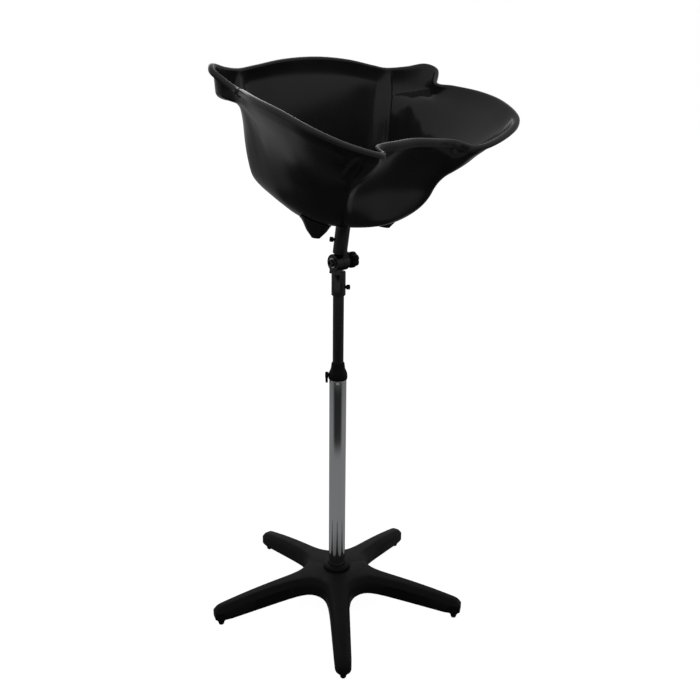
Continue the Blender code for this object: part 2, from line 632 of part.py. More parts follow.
def spigot(mats, bowl_axis):
    plate_top = FLOOR_Z - GAP
    plate_low = plate_top - 0.0030
    bottom = SOCKET_START + SOCKET_FLOOR + GAP
    bore = INNER_TUBE_R - INNER_TUBE_WALL
    plate_r = 0.0255
    profile = [(bore, bottom), (INNER_TUBE_R, bottom), (INNER_TUBE_R, plate_low - 0.006)]
    profile += [(INNER_TUBE_R + 0.002, plate_low), (plate_r, plate_low), (plate_r, plate_top)]
    profile += [(bore, plate_top)]
    plate = add_object("bowl_spigot", turned(profile, 24), mats["painted"], bowl_axis)
    for i in range(4):
        a = math.radians(45 + 90 * i)
        place = Matrix.Translation((0.0190 * math.cos(a), 0.0190 * math.sin(a), 0))
        hole = cutter(f"spigot_hole_{i + 1}", rod(0.0023, 0.09, 0.13), bowl_axis, place)
        boolean(plate, hole, "DIFFERENCE")
        head = plate_low - GAP
        screw = [(0, head - 0.0024), (0.0024, head - 0.0022), (0.0042, head - 0.0008), (0.0042, head)]
        screw += [(0.0020, head), (0.0020, plate_top), (0, plate_top)]
        add_object(f"spigot_screw_{i + 1}", turned(screw, 12), mats["zinc"], bowl_axis, place)


def drain(mats, bowl_axis):
    place = Matrix.Translation((0, DRAIN_Y, 0))
    floor_top = FLOOR_Z + SHELL_T
    gasket_low = floor_top + GAP
    gasket_top = gasket_low + 0.0012
    gasket = tube_profile(0.0215, 0.0172, gasket_low, gasket_top)
    add_object("drain_gasket", turned(gasket, 24), mats["rubber"], bowl_axis, place)
    flange_low = gasket_top + GAP
    neck = 0.0166
    drain_end = FLOOR_Z - 0.0245
    body = [(0.0145, drain_end), (neck, drain_end), (neck, flange_low), (0.0215, flange_low)]
    body += [(0.0215, flange_low + 0.0012), (0.0190, flange_low + 0.0024), (0.0150, flange_low + 0.0010)]
    body += [(0.0145, flange_low - 0.0030)]
    add_object("drain_body", turned(body, 24), mats["chrome"], bowl_axis, place)
    strainer_top = flange_low - 0.0012
    disc = [lobed_ring(0.0138, 0.0, 6, z, 24) for z in (strainer_top - 0.0014, strainer_top)]
    strainer = add_object("drain_strainer", lofted(disc), mats["chrome"], bowl_axis, place)
    holes = [Matrix()]
    for i in range(6):
        turn = Matrix.Rotation(math.radians(13 + 60 * i), 4, "Z")
        holes.append(turn @ Matrix.Translation((0.0085, 0, 0)))
    for i, spot in enumerate(holes):
        hole = cutter(f"strainer_hole_{i}", rod(0.0028, 0.1, 0.13, 10), bowl_axis, place @ spot)
        boolean(strainer, hole, "DIFFERENCE")
    washer_top = FLOOR_Z - GAP
    washer = tube_profile(0.0212, neck + GAP, washer_top - 0.0015, washer_top)
    add_object("drain_washer", turned(washer, 24), mats["rubber"], bowl_axis, place)
    nut_top = washer_top - 0.0015 - GAP
    nut_rings = [lobed_ring(0.0200, 0.0, 8, nut_top - 0.0090, 32)]
    nut_rings += [lobed_ring(0.0212, 0.0012, 8, z, 32) for z in (nut_top - 0.0080, nut_top)]
    nut = add_object("drain_nut", lofted(nut_rings), mats["nylon"], bowl_axis, place)
    bore = neck + GAP
    hole = cutter("drain_nut_hole", rod(bore, 0.08, 0.13, 24), bowl_axis, place)
    boolean(nut, hole, "DIFFERENCE")
    top = nut_top - 0.0090 - 0.0020
    shelf = drain_end - GAP
    tail = [(0.0080, shelf - 0.0165), (0.0098, shelf - 0.0165), (0.0110, shelf - 0.0130)]
    tail += [(0.0098, shelf - 0.0122), (0.0110, shelf - 0.0088), (0.0098, shelf - 0.0080)]
    tail += [(0.0098, shelf - 0.004), (0.0205, shelf - 0.003)]
    tail += [(0.0205, top), (bore, top), (bore, shelf), (0.0080, shelf)]
    add_object("drain_hose_tail", turned(tail, 24), mats["nylon"], bowl_axis, place)


# --- assembly -----------------------------------------------------------------------------
def clear_scene():
    for old in list(bpy.data.objects):
        bpy.data.objects.remove(old)


def main():
    clear_scene()
    mats = make_materials()
    column = empty("column_axis", None, Matrix.Translation((0, COLUMN_Y, 0)))
    star = star_base(mats["nylon"])
    star.parent = column
    for arm, word in enumerate(("rear", "rear_left", "front_left", "front_right", "rear_right")):
        glide(f"glide_{word}", arm, mats["nylon"]).parent = column
    base_fasteners(mats)
    mast_body = empty("mast_slide", column)
    mast(mats, mast_body)
    for name in ("base_washer", "base_bolt", "tube_end_plug", "outer_tube", "hub_ring"):
        bpy.data.objects[name].parent = column
    height_collar(mats, column)
    head = empty("head_swivel", mast_body, Matrix.Translation((0, 0, PIVOT_Z)))
    knuckle_half("lower_knuckle", -1, -LOWER_SOCKET_END, TOWARDS_SCREW_RIGHT, -0.050, mats, head)
    thumb_screw("lower_thumb_screw", TOWARDS_SCREW_RIGHT, -0.050, mats, head)
    tilt_fasteners(mats, head)
    tilt = empty("tilt_axis", head, Matrix.Rotation(math.radians(REST_TILT), 4, "X"))
    knuckle_half("upper_knuckle", 1, UPPER_SOCKET_TOP, TOWARDS_SCREW_LEFT, 0.044, mats, tilt)
    thumb_screw("upper_thumb_screw", TOWARDS_SCREW_LEFT, 0.044, mats, tilt)
    bowl_axis = empty("bowl_swivel", tilt)
    bowl_shell(mats, bowl_axis)
    space = bowl_space(bowl_axis)
    bowl_foot("bowl_foot_left", -1, mats, bowl_axis, space)
    bowl_foot("bowl_foot_right", 1, mats, bowl_axis, space)
    spigot(mats, bowl_axis)
    drain(mats, bowl_axis)


main()
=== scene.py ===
"""Looks of a portable shampoo backwash unit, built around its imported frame.

Lengths are in metres. The floor is z = 0, the neck rest faces -Y, and +X is the tilt knob's side.
Pieces of the head are described upright about the tilt bolt and placed by HEAD or LEANING.
"""
import json
import math

import bmesh
import bpy
import numpy as np
from mathutils import Matrix, Vector
from mathutils.bvhtree import BVHTree


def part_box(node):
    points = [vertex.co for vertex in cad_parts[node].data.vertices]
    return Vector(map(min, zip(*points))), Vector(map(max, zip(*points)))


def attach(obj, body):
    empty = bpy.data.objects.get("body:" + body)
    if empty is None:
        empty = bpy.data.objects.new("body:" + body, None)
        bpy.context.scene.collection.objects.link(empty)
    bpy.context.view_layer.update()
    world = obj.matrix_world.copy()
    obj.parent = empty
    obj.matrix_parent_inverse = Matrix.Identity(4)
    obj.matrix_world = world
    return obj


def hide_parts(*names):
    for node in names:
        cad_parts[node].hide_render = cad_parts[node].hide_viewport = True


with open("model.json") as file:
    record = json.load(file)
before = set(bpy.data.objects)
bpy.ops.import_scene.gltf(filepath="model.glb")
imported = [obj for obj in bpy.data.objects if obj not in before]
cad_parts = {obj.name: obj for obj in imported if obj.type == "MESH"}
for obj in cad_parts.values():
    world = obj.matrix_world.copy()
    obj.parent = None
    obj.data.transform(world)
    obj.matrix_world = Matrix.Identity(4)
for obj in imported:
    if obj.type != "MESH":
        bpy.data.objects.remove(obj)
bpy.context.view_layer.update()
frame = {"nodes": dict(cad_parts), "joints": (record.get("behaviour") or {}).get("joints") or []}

JOINTS = {joint["name"]: joint for joint in frame["joints"]}
PIVOT = Vector(JOINTS["bowl_tilt"]["pos_m"])
SPIGOT_AXIS = Vector(JOINTS["bowl_swivel"]["axis"])
LEAN = math.atan2(-SPIGOT_AXIS.y, SPIGOT_AXIS.z)
COLUMN = Matrix.Translation((0, PIVOT.y, 0))
HEAD = Matrix.Translation(PIVOT)
LEANING = HEAD @ Matrix.Rotation(LEAN, 4, "X")

GAP = 0.0003
TUBE_R = 0.0175
TUBE_WALL = 0.0015
TUBE_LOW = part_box("outer_tube")[0].z
TUBE_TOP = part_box("outer_tube")[1].z
INNER_R = 0.011
INNER_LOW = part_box("inner_tube")[0].z
INNER_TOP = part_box("inner_tube")[1].z
GLIDE_RADIUS = 0.260
ARM_COUNT = 5
ARM_REACH = 0.274
ARM_HALF_AT_HUB = 0.0240
ARM_HALF_AT_END = 0.0158
ARM_END_TOP = 0.043
ARM_END_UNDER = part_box("star_base")[0].z
ARM_NOSE = 0.016
CROTCH_RADIUS = 0.073
HUB_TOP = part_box("star_base")[1].z
HUB_UNDER = 0.049
DISC_R = 0.017
DISC_T = 0.0150
SOCKET_R = 0.014
SOCKET_START = 0.0186
SOCKET_FLOOR = 0.0060
BOLT_HOLE_R = 0.0043
UPPER_SOCKET_TOP = 0.075
LOWER_SOCKET_END = -0.066
UPPER_SCREW_Z = 0.044
LOWER_SCREW_Z = -0.050
FLOOR_Z = 0.102
SHELL_T = 0.0038
LIP_OUT = 0.0070
LIP_RISE = 0.0035
DRAIN_Y = 0.048
DRAIN_R = 0.0180
SCREW_LEFT = 140.0
SCREW_RIGHT = -40.0
RIVET_AT = 230.0


# --- materials ----------------------------------------------------------------------------
def surface(name, colour, rough, metallic=0.0, blotch=(5.0, 0.25), grain=(400.0, 0.10, 0.0003),
            stretch=(1.0, 1.0, 1.0), coat=0.0, specular=0.5, wear=0.0):
    """Principled material: blotched colour and roughness, a fine bump, and paler convex edges."""
    made = bpy.data.materials.new(name)
    made.use_nodes = True
    nodes, links = made.node_tree.nodes, made.node_tree.links
    shader = nodes["Principled BSDF"]
    shader.inputs["Metallic"].default_value = metallic
    shader.inputs["Specular IOR Level"].default_value = specular
    shader.inputs["Coat Weight"].default_value = coat
    shader.inputs["Coat Roughness"].default_value = 0.06
    coords = nodes.new("ShaderNodeTexCoord")
    mapping = nodes.new("ShaderNodeMapping")
    mapping.inputs["Scale"].default_value = stretch
    links.new(coords.outputs["Object"], mapping.inputs["Vector"])
    cloud = nodes.new("ShaderNodeTexNoise")
    cloud.inputs["Scale"].default_value = blotch[0]
    cloud.inputs["Detail"].default_value = 4.0
    links.new(mapping.outputs["Vector"], cloud.inputs["Vector"])
    tint = nodes.new("ShaderNodeValToRGB")
    tint.color_ramp.elements[0].position = 0.30
    tint.color_ramp.elements[1].position = 0.70
    tint.color_ramp.elements[0].color = (*[c * (1 - blotch[1]) for c in colour], 1)
    tint.color_ramp.elements[1].color = (*[min(c * (1 + blotch[1]), 1) for c in colour], 1)
    links.new(cloud.outputs["Fac"], tint.inputs["Fac"])
    base = tint.outputs["Color"]
    if wear:
        shape = nodes.new("ShaderNodeNewGeometry")
        edge = nodes.new("ShaderNodeMapRange")
        edge.inputs["From Min"].default_value = 0.53
        edge.inputs["From Max"].default_value = 0.62
        edge.inputs["To Max"].default_value = wear
        links.new(shape.outputs["Pointiness"], edge.inputs["Value"])
        mix = nodes.new("ShaderNodeMixRGB")
        mix.inputs["Color2"].default_value = (*[min(c * 3 + 0.02, 1) for c in colour], 1)
        links.new(edge.outputs["Result"], mix.inputs["Fac"])
        links.new(base, mix.inputs["Color1"])
        base = mix.outputs["Color"]
    links.new(base, shader.inputs["Base Color"])
    shine = nodes.new("ShaderNodeMapRange")
    shine.inputs["From Min"].default_value = 0.3
    shine.inputs["From Max"].default_value = 0.7
    shine.inputs["To Min"].default_value = rough[0]
    shine.inputs["To Max"].default_value = rough[1]
    links.new(cloud.outputs["Fac"], shine.inputs["Value"])
    links.new(shine.outputs["Result"], shader.inputs["Roughness"])
    fine = nodes.new("ShaderNodeTexNoise")
    fine.inputs["Scale"].default_value = grain[0]
    fine.inputs["Detail"].default_value = 3.0
    links.new(mapping.outputs["Vector"], fine.inputs["Vector"])
    bump = nodes.new("ShaderNodeBump")
    bump.inputs["Strength"].default_value = grain[1]
    bump.inputs["Distance"].default_value = grain[2]
    links.new(fine.outputs["Fac"], bump.inputs["Height"])
    links.new(bump.outputs["Normal"], shader.inputs["Normal"])
    return made


GLOSS = surface("gloss_black_abs", (0.0090, 0.0090, 0.0094), (0.16, 0.25), blotch=(7.0, 0.25),
                grain=(45.0, 0.04, 0.0006), specular=0.35)
NYLON = surface("matte_black_nylon", (0.0026, 0.0026, 0.0028), (0.40, 0.55), blotch=(22.0, 0.30),
                grain=(1500.0, 0.15, 0.0002), specular=0.08, wear=0.15)
CHROME = surface("chrome_plate", (0.60, 0.605, 0.62), (0.05, 0.11), 1.0, blotch=(30.0, 0.04),
                 grain=(700.0, 0.02, 0.0001), stretch=(1.0, 1.0, 0.06))
PAINTED = surface("black_painted_steel", (0.0032, 0.0032, 0.0035), (0.20, 0.32), blotch=(30.0, 0.25),
                  grain=(900.0, 0.08, 0.0002), specular=0.35, wear=0.10)
ZINC = surface("bright_zinc", (0.50, 0.51, 0.53), (0.22, 0.38), 1.0, blotch=(120.0, 0.12),
               grain=(1400.0, 0.10, 0.0001))
RUBBER = surface("black_rubber", (0.006, 0.006, 0.006), (0.68, 0.85), blotch=(40.0, 0.2),
                 grain=(1100.0, 0.3, 0.0002), specular=0.3)


# --- mesh helpers -------------------------------------------------------------------------
def piece(name, bm, mat, body, place=COLUMN, nodes=(), angle=38):
    """One finished piece: outward faces, smooth shading, its material, its body."""
    bmesh.ops.remove_doubles(bm, verts=bm.verts, dist=1e-7)
    bmesh.ops.recalc_face_normals(bm, faces=bm.faces)
    mesh = bpy.data.meshes.new(name)
    bm.to_mesh(mesh)
    bm.free()
    mesh.transform(place)
    mesh.shade_smooth()
    mesh.set_sharp_from_angle(angle=math.radians(angle))
    mesh.materials.append(mat)
    made = bpy.data.objects.new(name, mesh)
    bpy.context.scene.collection.objects.link(made)
    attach(made, body)
    if nodes:
        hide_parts(*nodes)
    return made


def rounded(profile, radius=0.0008, steps=4):
    """The (radius, height) outline with its corners rounded; points on the axis stay."""
    out = []
    count = len(profile)
    for i, here in enumerate(profile):
        at = Vector(here)
        if at.x < 1e-7:
            out.append(at)
            continue
        before = Vector(profile[i - 1]) - at
        after = Vector(profile[(i + 1) % count]) - at
        if before.length < 1e-7 or after.length < 1e-7:
            continue
        straight = before.normalized().dot(after.normalized()) < -0.995
        if straight:
            out.append(at)
            continue
        a = at + before.normalized() * min(radius, before.length * 0.45)
        b = at + after.normalized() * min(radius, after.length * 0.45)
        for s in range(steps + 1):
            t = s / steps
            out.append((1 - t) ** 2 * a + 2 * t * (1 - t) * at + t * t * b)
    return out


def turned(profile, segments=72):
    """Solid of revolution about +Z from a closed (radius, height) outline."""
    bm = bmesh.new()
    rings = []
    for radius, height in profile:
        if radius < 1e-7:
            rings.append([bm.verts.new((0.0, 0.0, height))])
            continue
        turns = [2 * math.pi * i / segments for i in range(segments)]
        rings.append([bm.verts.new((radius * math.cos(a), radius * math.sin(a), height)) for a in turns])
    pairs = list(zip(rings, rings[1:]))
    if len(rings[0]) > 1:
        pairs.append((rings[-1], rings[0]))
    for low, high in pairs:
        for i in range(segments):
            j = (i + 1) % segments
            corners = (low[i % len(low)], low[j % len(low)], high[j % len(high)], high[i % len(high)])
            unique = list(dict.fromkeys(corners))
            if len(unique) > 2:
                bm.faces.new(unique)
    return bm


def lofted(rings, loop=False, caps=True):
    """Skin equal rings; loop joins the last to the first, and caps close the two ends."""
    bm = bmesh.new()
    loops = [[bm.verts.new(p) for p in ring] for ring in rings]
    count = len(loops[0])
    pairs = list(zip(loops, loops[1:]))
    if loop:
        pairs.append((loops[-1], loops[0]))
    for low, high in pairs:
        for i in range(count):
            j = (i + 1) % count
            bm.faces.new((low[i], low[j], high[j], high[i]))
    if caps and not loop:
        bm.faces.new(list(reversed(loops[0])))
        bm.faces.new(loops[-1])
    return bm


def rod(radius, low, high, segments=32):
    return turned([(0, low), (radius, low), (radius, high), (0, high)], segments)


def tube_profile(outer, inner, low, high):
    return [(outer, low), (outer, high), (inner, high), (inner, low)]


ALONG_X = Matrix.Rotation(math.radians(90), 4, "Y")


def radial(azimuth, z):
    """Place a +Z solid so that its axis points away from the mast at the given azimuth."""
    turn = Matrix.Rotation(math.radians(azimuth), 4, "Z")
    return turn @ Matrix.Translation((0, 0, z)) @ ALONG_X


def carve(target, solids, operation="DIFFERENCE"):
    """Apply exact booleans of target with each (bmesh, placement)."""
    for bm, place in solids:
        bmesh.ops.recalc_face_normals(bm, faces=bm.faces)
        mesh = bpy.data.meshes.new("carver")
        bm.to_mesh(mesh)
        bm.free()
        other = bpy.data.objects.new("carver", mesh)
        bpy.context.scene.collection.objects.link(other)
        other.matrix_world = place
        step = target.modifiers.new("carve", "BOOLEAN")
        step.operation = operation
        step.object = other
        apply_modifiers(target)
        bpy.data.objects.remove(other)


def apply_modifiers(target):
    bpy.context.view_layer.update()
    graph = bpy.context.evaluated_depsgraph_get()
    baked = bpy.data.meshes.new_from_object(target.evaluated_get(graph))
    target.modifiers.clear()
    old = target.data
    target.data = baked
    bpy.data.meshes.remove(old)


def smooth_step(t):
    t = np.clip(t, 0.0, 1.0)
    return t * t * (3 - 2 * t)


# --- base ---------------------------------------------------------------------------------
def arm_half_width(a):
    return ARM_HALF_AT_HUB + (ARM_HALF_AT_END - ARM_HALF_AT_HUB) * min(a / ARM_REACH, 1.0)


def arm_top(a):
    t = min(max((a - 0.036) / (ARM_REACH - 0.036), 0.0), 1.0)
    return HUB_TOP - (HUB_TOP - ARM_END_TOP) * (0.45 * t + 0.55 * t * t)


def arm_under(a):
    t = min(max((a - 0.050) / (GLIDE_RADIUS - 0.015 - 0.050), 0.0), 1.0)
    return HUB_UNDER - (HUB_UNDER - ARM_END_UNDER) * t


def arm_edge(a):
    """Half width of the arm with the fillet that runs into its neighbour."""
    half_angle = math.pi / ARM_COUNT
    a_crotch = CROTCH_RADIUS * math.cos(half_angle)
    extra = CROTCH_RADIUS * math.sin(half_angle) - arm_half_width(a_crotch)
    decay = extra * math.tan(half_angle)
    width = arm_half_width(a) + extra * math.exp(-(a - a_crotch) / decay)
    end = (a - (ARM_REACH - ARM_NOSE)) / ARM_NOSE
    if end > 0:
        width *= math.sqrt(max(1 - 0.62 * end * end, 0.0))
    return width


def arm_stations():
    """(position at the centre line, position and half width at the edge, inside the hub)."""
    half_angle = math.pi / ARM_COUNT
    bore = TUBE_R + GAP
    stations = []
    for t in (0.0, 0.25, 0.5, 0.68, 0.80, 0.89, 0.95, 1.0):
        radius = bore + (CROTCH_RADIUS - bore) * t
        centre = bore + (CROTCH_RADIUS * 0.96 - bore) * t
        stations.append((centre, radius * math.cos(half_angle), radius * math.sin(half_angle), True))
    a_crotch = CROTCH_RADIUS * math.cos(half_angle)
    for a in (0.063, 0.069, 0.076, 0.084, 0.098, 0.115, 0.140, 0.165, 0.190, 0.215, 0.240, 0.256,
              0.262, 0.267, 0.271, ARM_REACH):
        centre = max(a, CROTCH_RADIUS * 0.96 + (a - a_crotch) * 0.75) if a <= 0.12 else a
        stations.append((min(centre, ARM_REACH), a, arm_edge(a), False))
    return stations


def arm_outline():
    """Dense points along the edge of one arm, both sides and the end."""
    start = CROTCH_RADIUS * math.cos(math.pi / ARM_COUNT)
    along = np.linspace(start, ARM_REACH, 260)
    half = np.array([arm_edge(a) for a in along])
    end = np.linspace(-half[-1], half[-1], 24)
    xs = np.concatenate([along, along, np.full(24, ARM_REACH)])
    ys = np.concatenate([half, -half, end])
    return np.stack([xs, ys], axis=1)


def bevel_drop(gap, width=0.0105, depth=0.0095):
    """How far the top falls at this distance from the edge."""
    return depth * max(1 - gap / width, 0.0) ** 1.6


def star_base():
    across = (-1.0, -0.965, -0.91, -0.83, -0.72, -0.60, -0.45, -0.22, 0.0, 0.22, 0.45, 0.60, 0.72,
              0.83, 0.91, 0.965, 1.0)
    bm = bmesh.new()
    bore = TUBE_R + GAP
    stations = arm_stations()
    outline = arm_outline()
    last = len(across) - 1
    hollow = []
    for arm in range(ARM_COUNT):
        turn = Matrix.Rotation(2 * math.pi * arm / ARM_COUNT + math.pi / 2, 3, "Z")
        top, under = [], []
        for centre, edge_a, edge_w, inside in stations:
            row_top, row_under = [], []
            for t in across:
                if inside and centre <= bore + 1e-6:
                    angle = t * math.pi / ARM_COUNT
                    x, y = bore * math.cos(angle), bore * math.sin(angle)
                else:
                    x = centre + (edge_a - centre) * t * t
                    y = edge_w * t
                radius = math.hypot(x, y)
                gap = float(np.min(np.linalg.norm(outline - (x, y), axis=1)))
                z = arm_top(radius) - bevel_drop(gap) - 0.0008 * t * t
                row_top.append(bm.verts.new(turn @ Vector((x, y, z))))
                row_under.append(bm.verts.new(turn @ Vector((x, y, arm_under(radius)))))
            top.append(row_top)
            under.append(row_under)
        for s in range(len(stations) - 1):
            for i in range(last):
                bm.faces.new((top[s][i], top[s][i + 1], top[s + 1][i + 1], top[s + 1][i]))
                low = bm.faces.new((under[s][i], under[s + 1][i], under[s + 1][i + 1], under[s][i + 1]))
                if 0.075 < stations[s][1] < 0.235 and 2 < i < last - 3:
                    hollow.append(low)
            if not stations[s + 1][3]:
                for i in (0, last):
                    bm.faces.new((top[s][i], top[s + 1][i], under[s + 1][i], under[s][i]))
        for i in range(last):
            bm.faces.new((top[-1][i], top[-1][i + 1], under[-1][i + 1], under[-1][i]))
            bm.faces.new((top[0][i], under[0][i], under[0][i + 1], top[0][i + 1]))
    bmesh.ops.remove_doubles(bm, verts=bm.verts, dist=1e-5)
    bmesh.ops.recalc_face_normals(bm, faces=bm.faces)
    bmesh.ops.inset_region(bm, faces=hollow, thickness=0.0015)
    for v in {v for f in hollow for v in f.verts}:
        radius = v.co.xy.length
        v.co.z += 0.55 * (arm_top(radius) - arm_under(radius)) - 0.004
    made = piece("star_base_moulding", bm, NYLON, "base", COLUMN, ["star_base"], 42)
    soften(made, 0.0009, 3, 42)
    return made


def soften(target, width, segments, angle):
    """Rounds the edges sharper than the angle."""
    step = target.modifiers.new("soften", "BEVEL")
    step.width = width
    step.segments = segments
    step.limit_method = "ANGLE"
    step.angle_limit = math.radians(angle)


def glides():
    for arm, word in enumerate(("rear", "rear_left", "front_left", "front_right", "rear_right")):
        angle = 2 * math.pi * arm / ARM_COUNT + math.pi / 2
        top = ARM_END_UNDER - GAP
        profile = [(0, 0), (0.0042, 0), (0.0058, 0.0020), (0.0066, 0.0070), (0.0098, 0.0110)]
        profile += [(0.0104, top - 0.0012), (0.0094, top - 0.0006), (0, top - 0.0006)]
        spot = Matrix.Translation((GLIDE_RADIUS * math.cos(angle), GLIDE_RADIUS * math.sin(angle), 0))
        piece(f"floor_glide_{word}", turned(rounded(profile, 0.0010), 48), NYLON, "base",
              COLUMN @ spot, [f"glide_{word}"])


def hex_bolt():
    """Hexagon head with a washer face under the hub, and its shank."""
    low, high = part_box("base_bolt")[0].z, HUB_UNDER - GAP - 0.0025 - GAP
    corner = 0.0085
    rings = []
    for z, scale in ((low, 0.80), (low + 0.0008, 0.97), (low + 0.0016, 1.0), (high, 1.0)):
        rings.append([(corner * scale * math.cos(math.radians(60 * i + 15 * j)) * flat(j),
                       corner * scale * math.sin(math.radians(60 * i + 15 * j)) * flat(j), z)
                      for i in range(6) for j in range(4)])
    head = piece("base_hex_bolt", lofted(rings), ZINC, "base", COLUMN, ["base_bolt"], 30)
    shank = turned(rounded([(0, high - 0.001), (0.0049, high - 0.001), (0.0049, 0.068), (0, 0.069)]), 32)
    carve(head, [(shank, COLUMN)], "UNION")
    return head


def flat(j):
    """Shrinks a point between two corners of a hexagon onto the flat."""
    return math.cos(math.radians(30)) / math.cos(math.radians(abs(15 * j - 30)))


# --- mast ---------------------------------------------------------------------------------
def mast():
    outer = tube_profile(TUBE_R, TUBE_R - TUBE_WALL, TUBE_LOW, TUBE_TOP)
    piece("chrome_mast_tube", turned(rounded(outer, 0.0006), 128), CHROME, "base", COLUMN,
          ["outer_tube"])
    inner_wall = INNER_R + GAP
    ring_in = TUBE_R + GAP
    ring = [(ring_in, HUB_TOP + GAP), (0.0290, HUB_TOP + GAP), (0.0292, HUB_TOP + 0.0030)]
    ring += [(0.0270, HUB_TOP + 0.0062), (0.0205, HUB_TOP + 0.0078), (ring_in, HUB_TOP + 0.0078)]
    piece("hub_cover_ring", turned(rounded(ring, 0.0012), 96), NYLON, "base", COLUMN, ["hub_ring"])
    inner = tube_profile(INNER_R, INNER_R - TUBE_WALL, INNER_LOW, INNER_TOP)
    piece("inner_mast_tube", turned(rounded(inner, 0.0005), 96), PAINTED, "mast", COLUMN,
          ["inner_tube"])
    plug_r = TUBE_R - TUBE_WALL - GAP
    top = TUBE_TOP + GAP
    profile = [(inner_wall, top - 0.034), (plug_r, top - 0.034), (plug_r, top), (0.0190, top)]
    profile += [(0.0194, top + 0.0070), (0.0186, top + 0.0130), (0.0145, top + 0.0230)]
    profile += [(0.0132, top + 0.0340), (0.0125, top + 0.0355), (inner_wall, top + 0.0355)]
    collar = piece("height_collar_moulding", turned(rounded(profile, 0.0022, 6), 96), NYLON, "base",
                   COLUMN, ["height_collar"])
    screw_z = TUBE_TOP + 0.0085
    boss = turned(rounded([(0, 0.0140), (0.0052, 0.0140), (0.0052, 0.0195), (0, 0.0195)], 0.0006), 40)
    carve(collar, [(boss, COLUMN @ radial(SCREW_LEFT, screw_z))], "UNION")
    carve(collar, [(rod(0.0034, 0.005, 0.035), COLUMN @ radial(SCREW_LEFT, screw_z))])
    stem = [(0, inner_wall), (0.0030, inner_wall), (0.0030, 0.0198), (0.0058, 0.0198)]
    stem += [(0.0066, 0.0206), (0.0066, 0.0250), (0.0056, 0.0260), (0, 0.0260)]
    lever = piece("height_lever", turned(rounded(stem, 0.0008), 48), NYLON, "height_knob",
                  COLUMN @ radial(SCREW_LEFT, screw_z), ["height_knob"])
    rings = []
    for s in range(13):
        t = s / 12
        x = 0.0160 * t
        half = 0.0062 - 0.0014 * math.sin(math.pi * min(t * 1.15, 1.0))
        half *= math.sqrt(max(1 - max((t - 0.82) / 0.20, 0) ** 2, 0.05))
        low, high = 0.0200 + 0.0004 * t, 0.0258 - 0.0006 * t
        middle, depth = (low + high) / 2, (high - low) / 2
        ring = []
        for i in range(20):
            a = 2 * math.pi * i / 20
            ring.append((x, half * squared(math.cos(a)), middle + depth * squared(math.sin(a))))
        rings.append(ring)
    carve(lever, [(lofted(rings), COLUMN @ radial(SCREW_LEFT, screw_z))], "UNION")
    rivet = [(0, TUBE_R + GAP), (0.0036, TUBE_R + GAP), (0.0036, 0.0186), (0.0024, 0.0195), (0, 0.0198)]
    piece("collar_rivet_head", turned(rounded(rivet, 0.0009), 32), ZINC, "base",
          COLUMN @ radial(RIVET_AT, TUBE_TOP - 0.0055), ["collar_rivet"])


def squared(value, power=0.55):
    """Pushes a circle's coordinate towards a rounded square."""
    return math.copysign(abs(value) ** power, value)


# --- knuckle ------------------------------------------------------------------------------
def knuckle(name, node, side, socket_far, screw_azimuth, screw_z, body, place):
    """One half of the tilting joint: a disc beside the bolt run into a socket."""
    direction = 1 if socket_far > 0 else -1
    bore = INNER_R + GAP
    blind = direction * (SOCKET_START + SOCKET_FLOOR)
    profile = [(0, direction * SOCKET_START), (SOCKET_R, direction * SOCKET_START)]
    profile += [(SOCKET_R, socket_far), (bore, socket_far), (bore, blind), (0, blind)]
    made = piece(name, turned(rounded(profile, 0.0010, 3), 64), PAINTED, body, place, [node],
                 50)
    low, high = sorted((side * GAP, side * DISC_T))
    disc = [(0, low), (DISC_R, low), (DISC_R, high), (0, high)]
    x0, x1 = sorted((side * GAP, side * (SOCKET_R - 0.0006)))
    z0, z1 = sorted((direction * 0.002, direction * 0.0225))
    rings = []
    for z, half in ((z0, 0.0125), (z1, 0.0100)):
        corners = ((x0, -half), (x1, -half), (x1, half), (x0, half))
        rings.append([(x, y, z) for x, y in corners])
    carve(made, [(turned(rounded(disc, 0.0010, 3), 64), place @ ALONG_X), (lofted(rings), place)], "UNION")
    groove = turned([(0.0108, side * (DISC_T - 0.0007)), (0.0128, side * (DISC_T - 0.0007)),
                     (0.0128, side * (DISC_T + 0.002)), (0.0108, side * (DISC_T + 0.002))], 64)
    carve(made, [(groove, place @ ALONG_X), (rod(BOLT_HOLE_R, -0.03, 0.03), place @ ALONG_X),
                 (rod(0.0032, 0.006, 0.02), place @ radial(screw_azimuth, screw_z))])
    soften(made, 0.0005, 2, 50)
    return made


def lobed_ring(radius, depth, lobes, z, count):
    points = []
    for i in range(count):
        a = 2 * math.pi * i / count
        r = radius - depth * (0.5 - 0.5 * math.cos(lobes * a)) ** 2
        points.append((r * math.cos(a), r * math.sin(a), z))
    return points


def thumb_screw(name, node, azimuth, z, body, place):
    """Plain shank with a finely fluted head."""
    head, count = SOCKET_R + 0.0010, 96
    rings = [lobed_ring(r, d, 16, h, count) for r, d, h in (
        (0.0029, 0.0, INNER_R + GAP), (0.0029, 0.0, head), (0.0046, 0.0, head + 0.0001),
        (0.0046, 0.0, head + 0.0015), (0.0048, 0.0004, head + 0.0020), (0.0050, 0.0006, head + 0.0026),
        (0.0050, 0.0006, head + 0.0062), (0.0046, 0.0004, head + 0.0072), (0.0036, 0.0, head + 0.0078),
        (0.0015, 0.0, head + 0.0080))]
    piece(name, lofted(rings), NYLON, body, place @ radial(azimuth, z), [node])


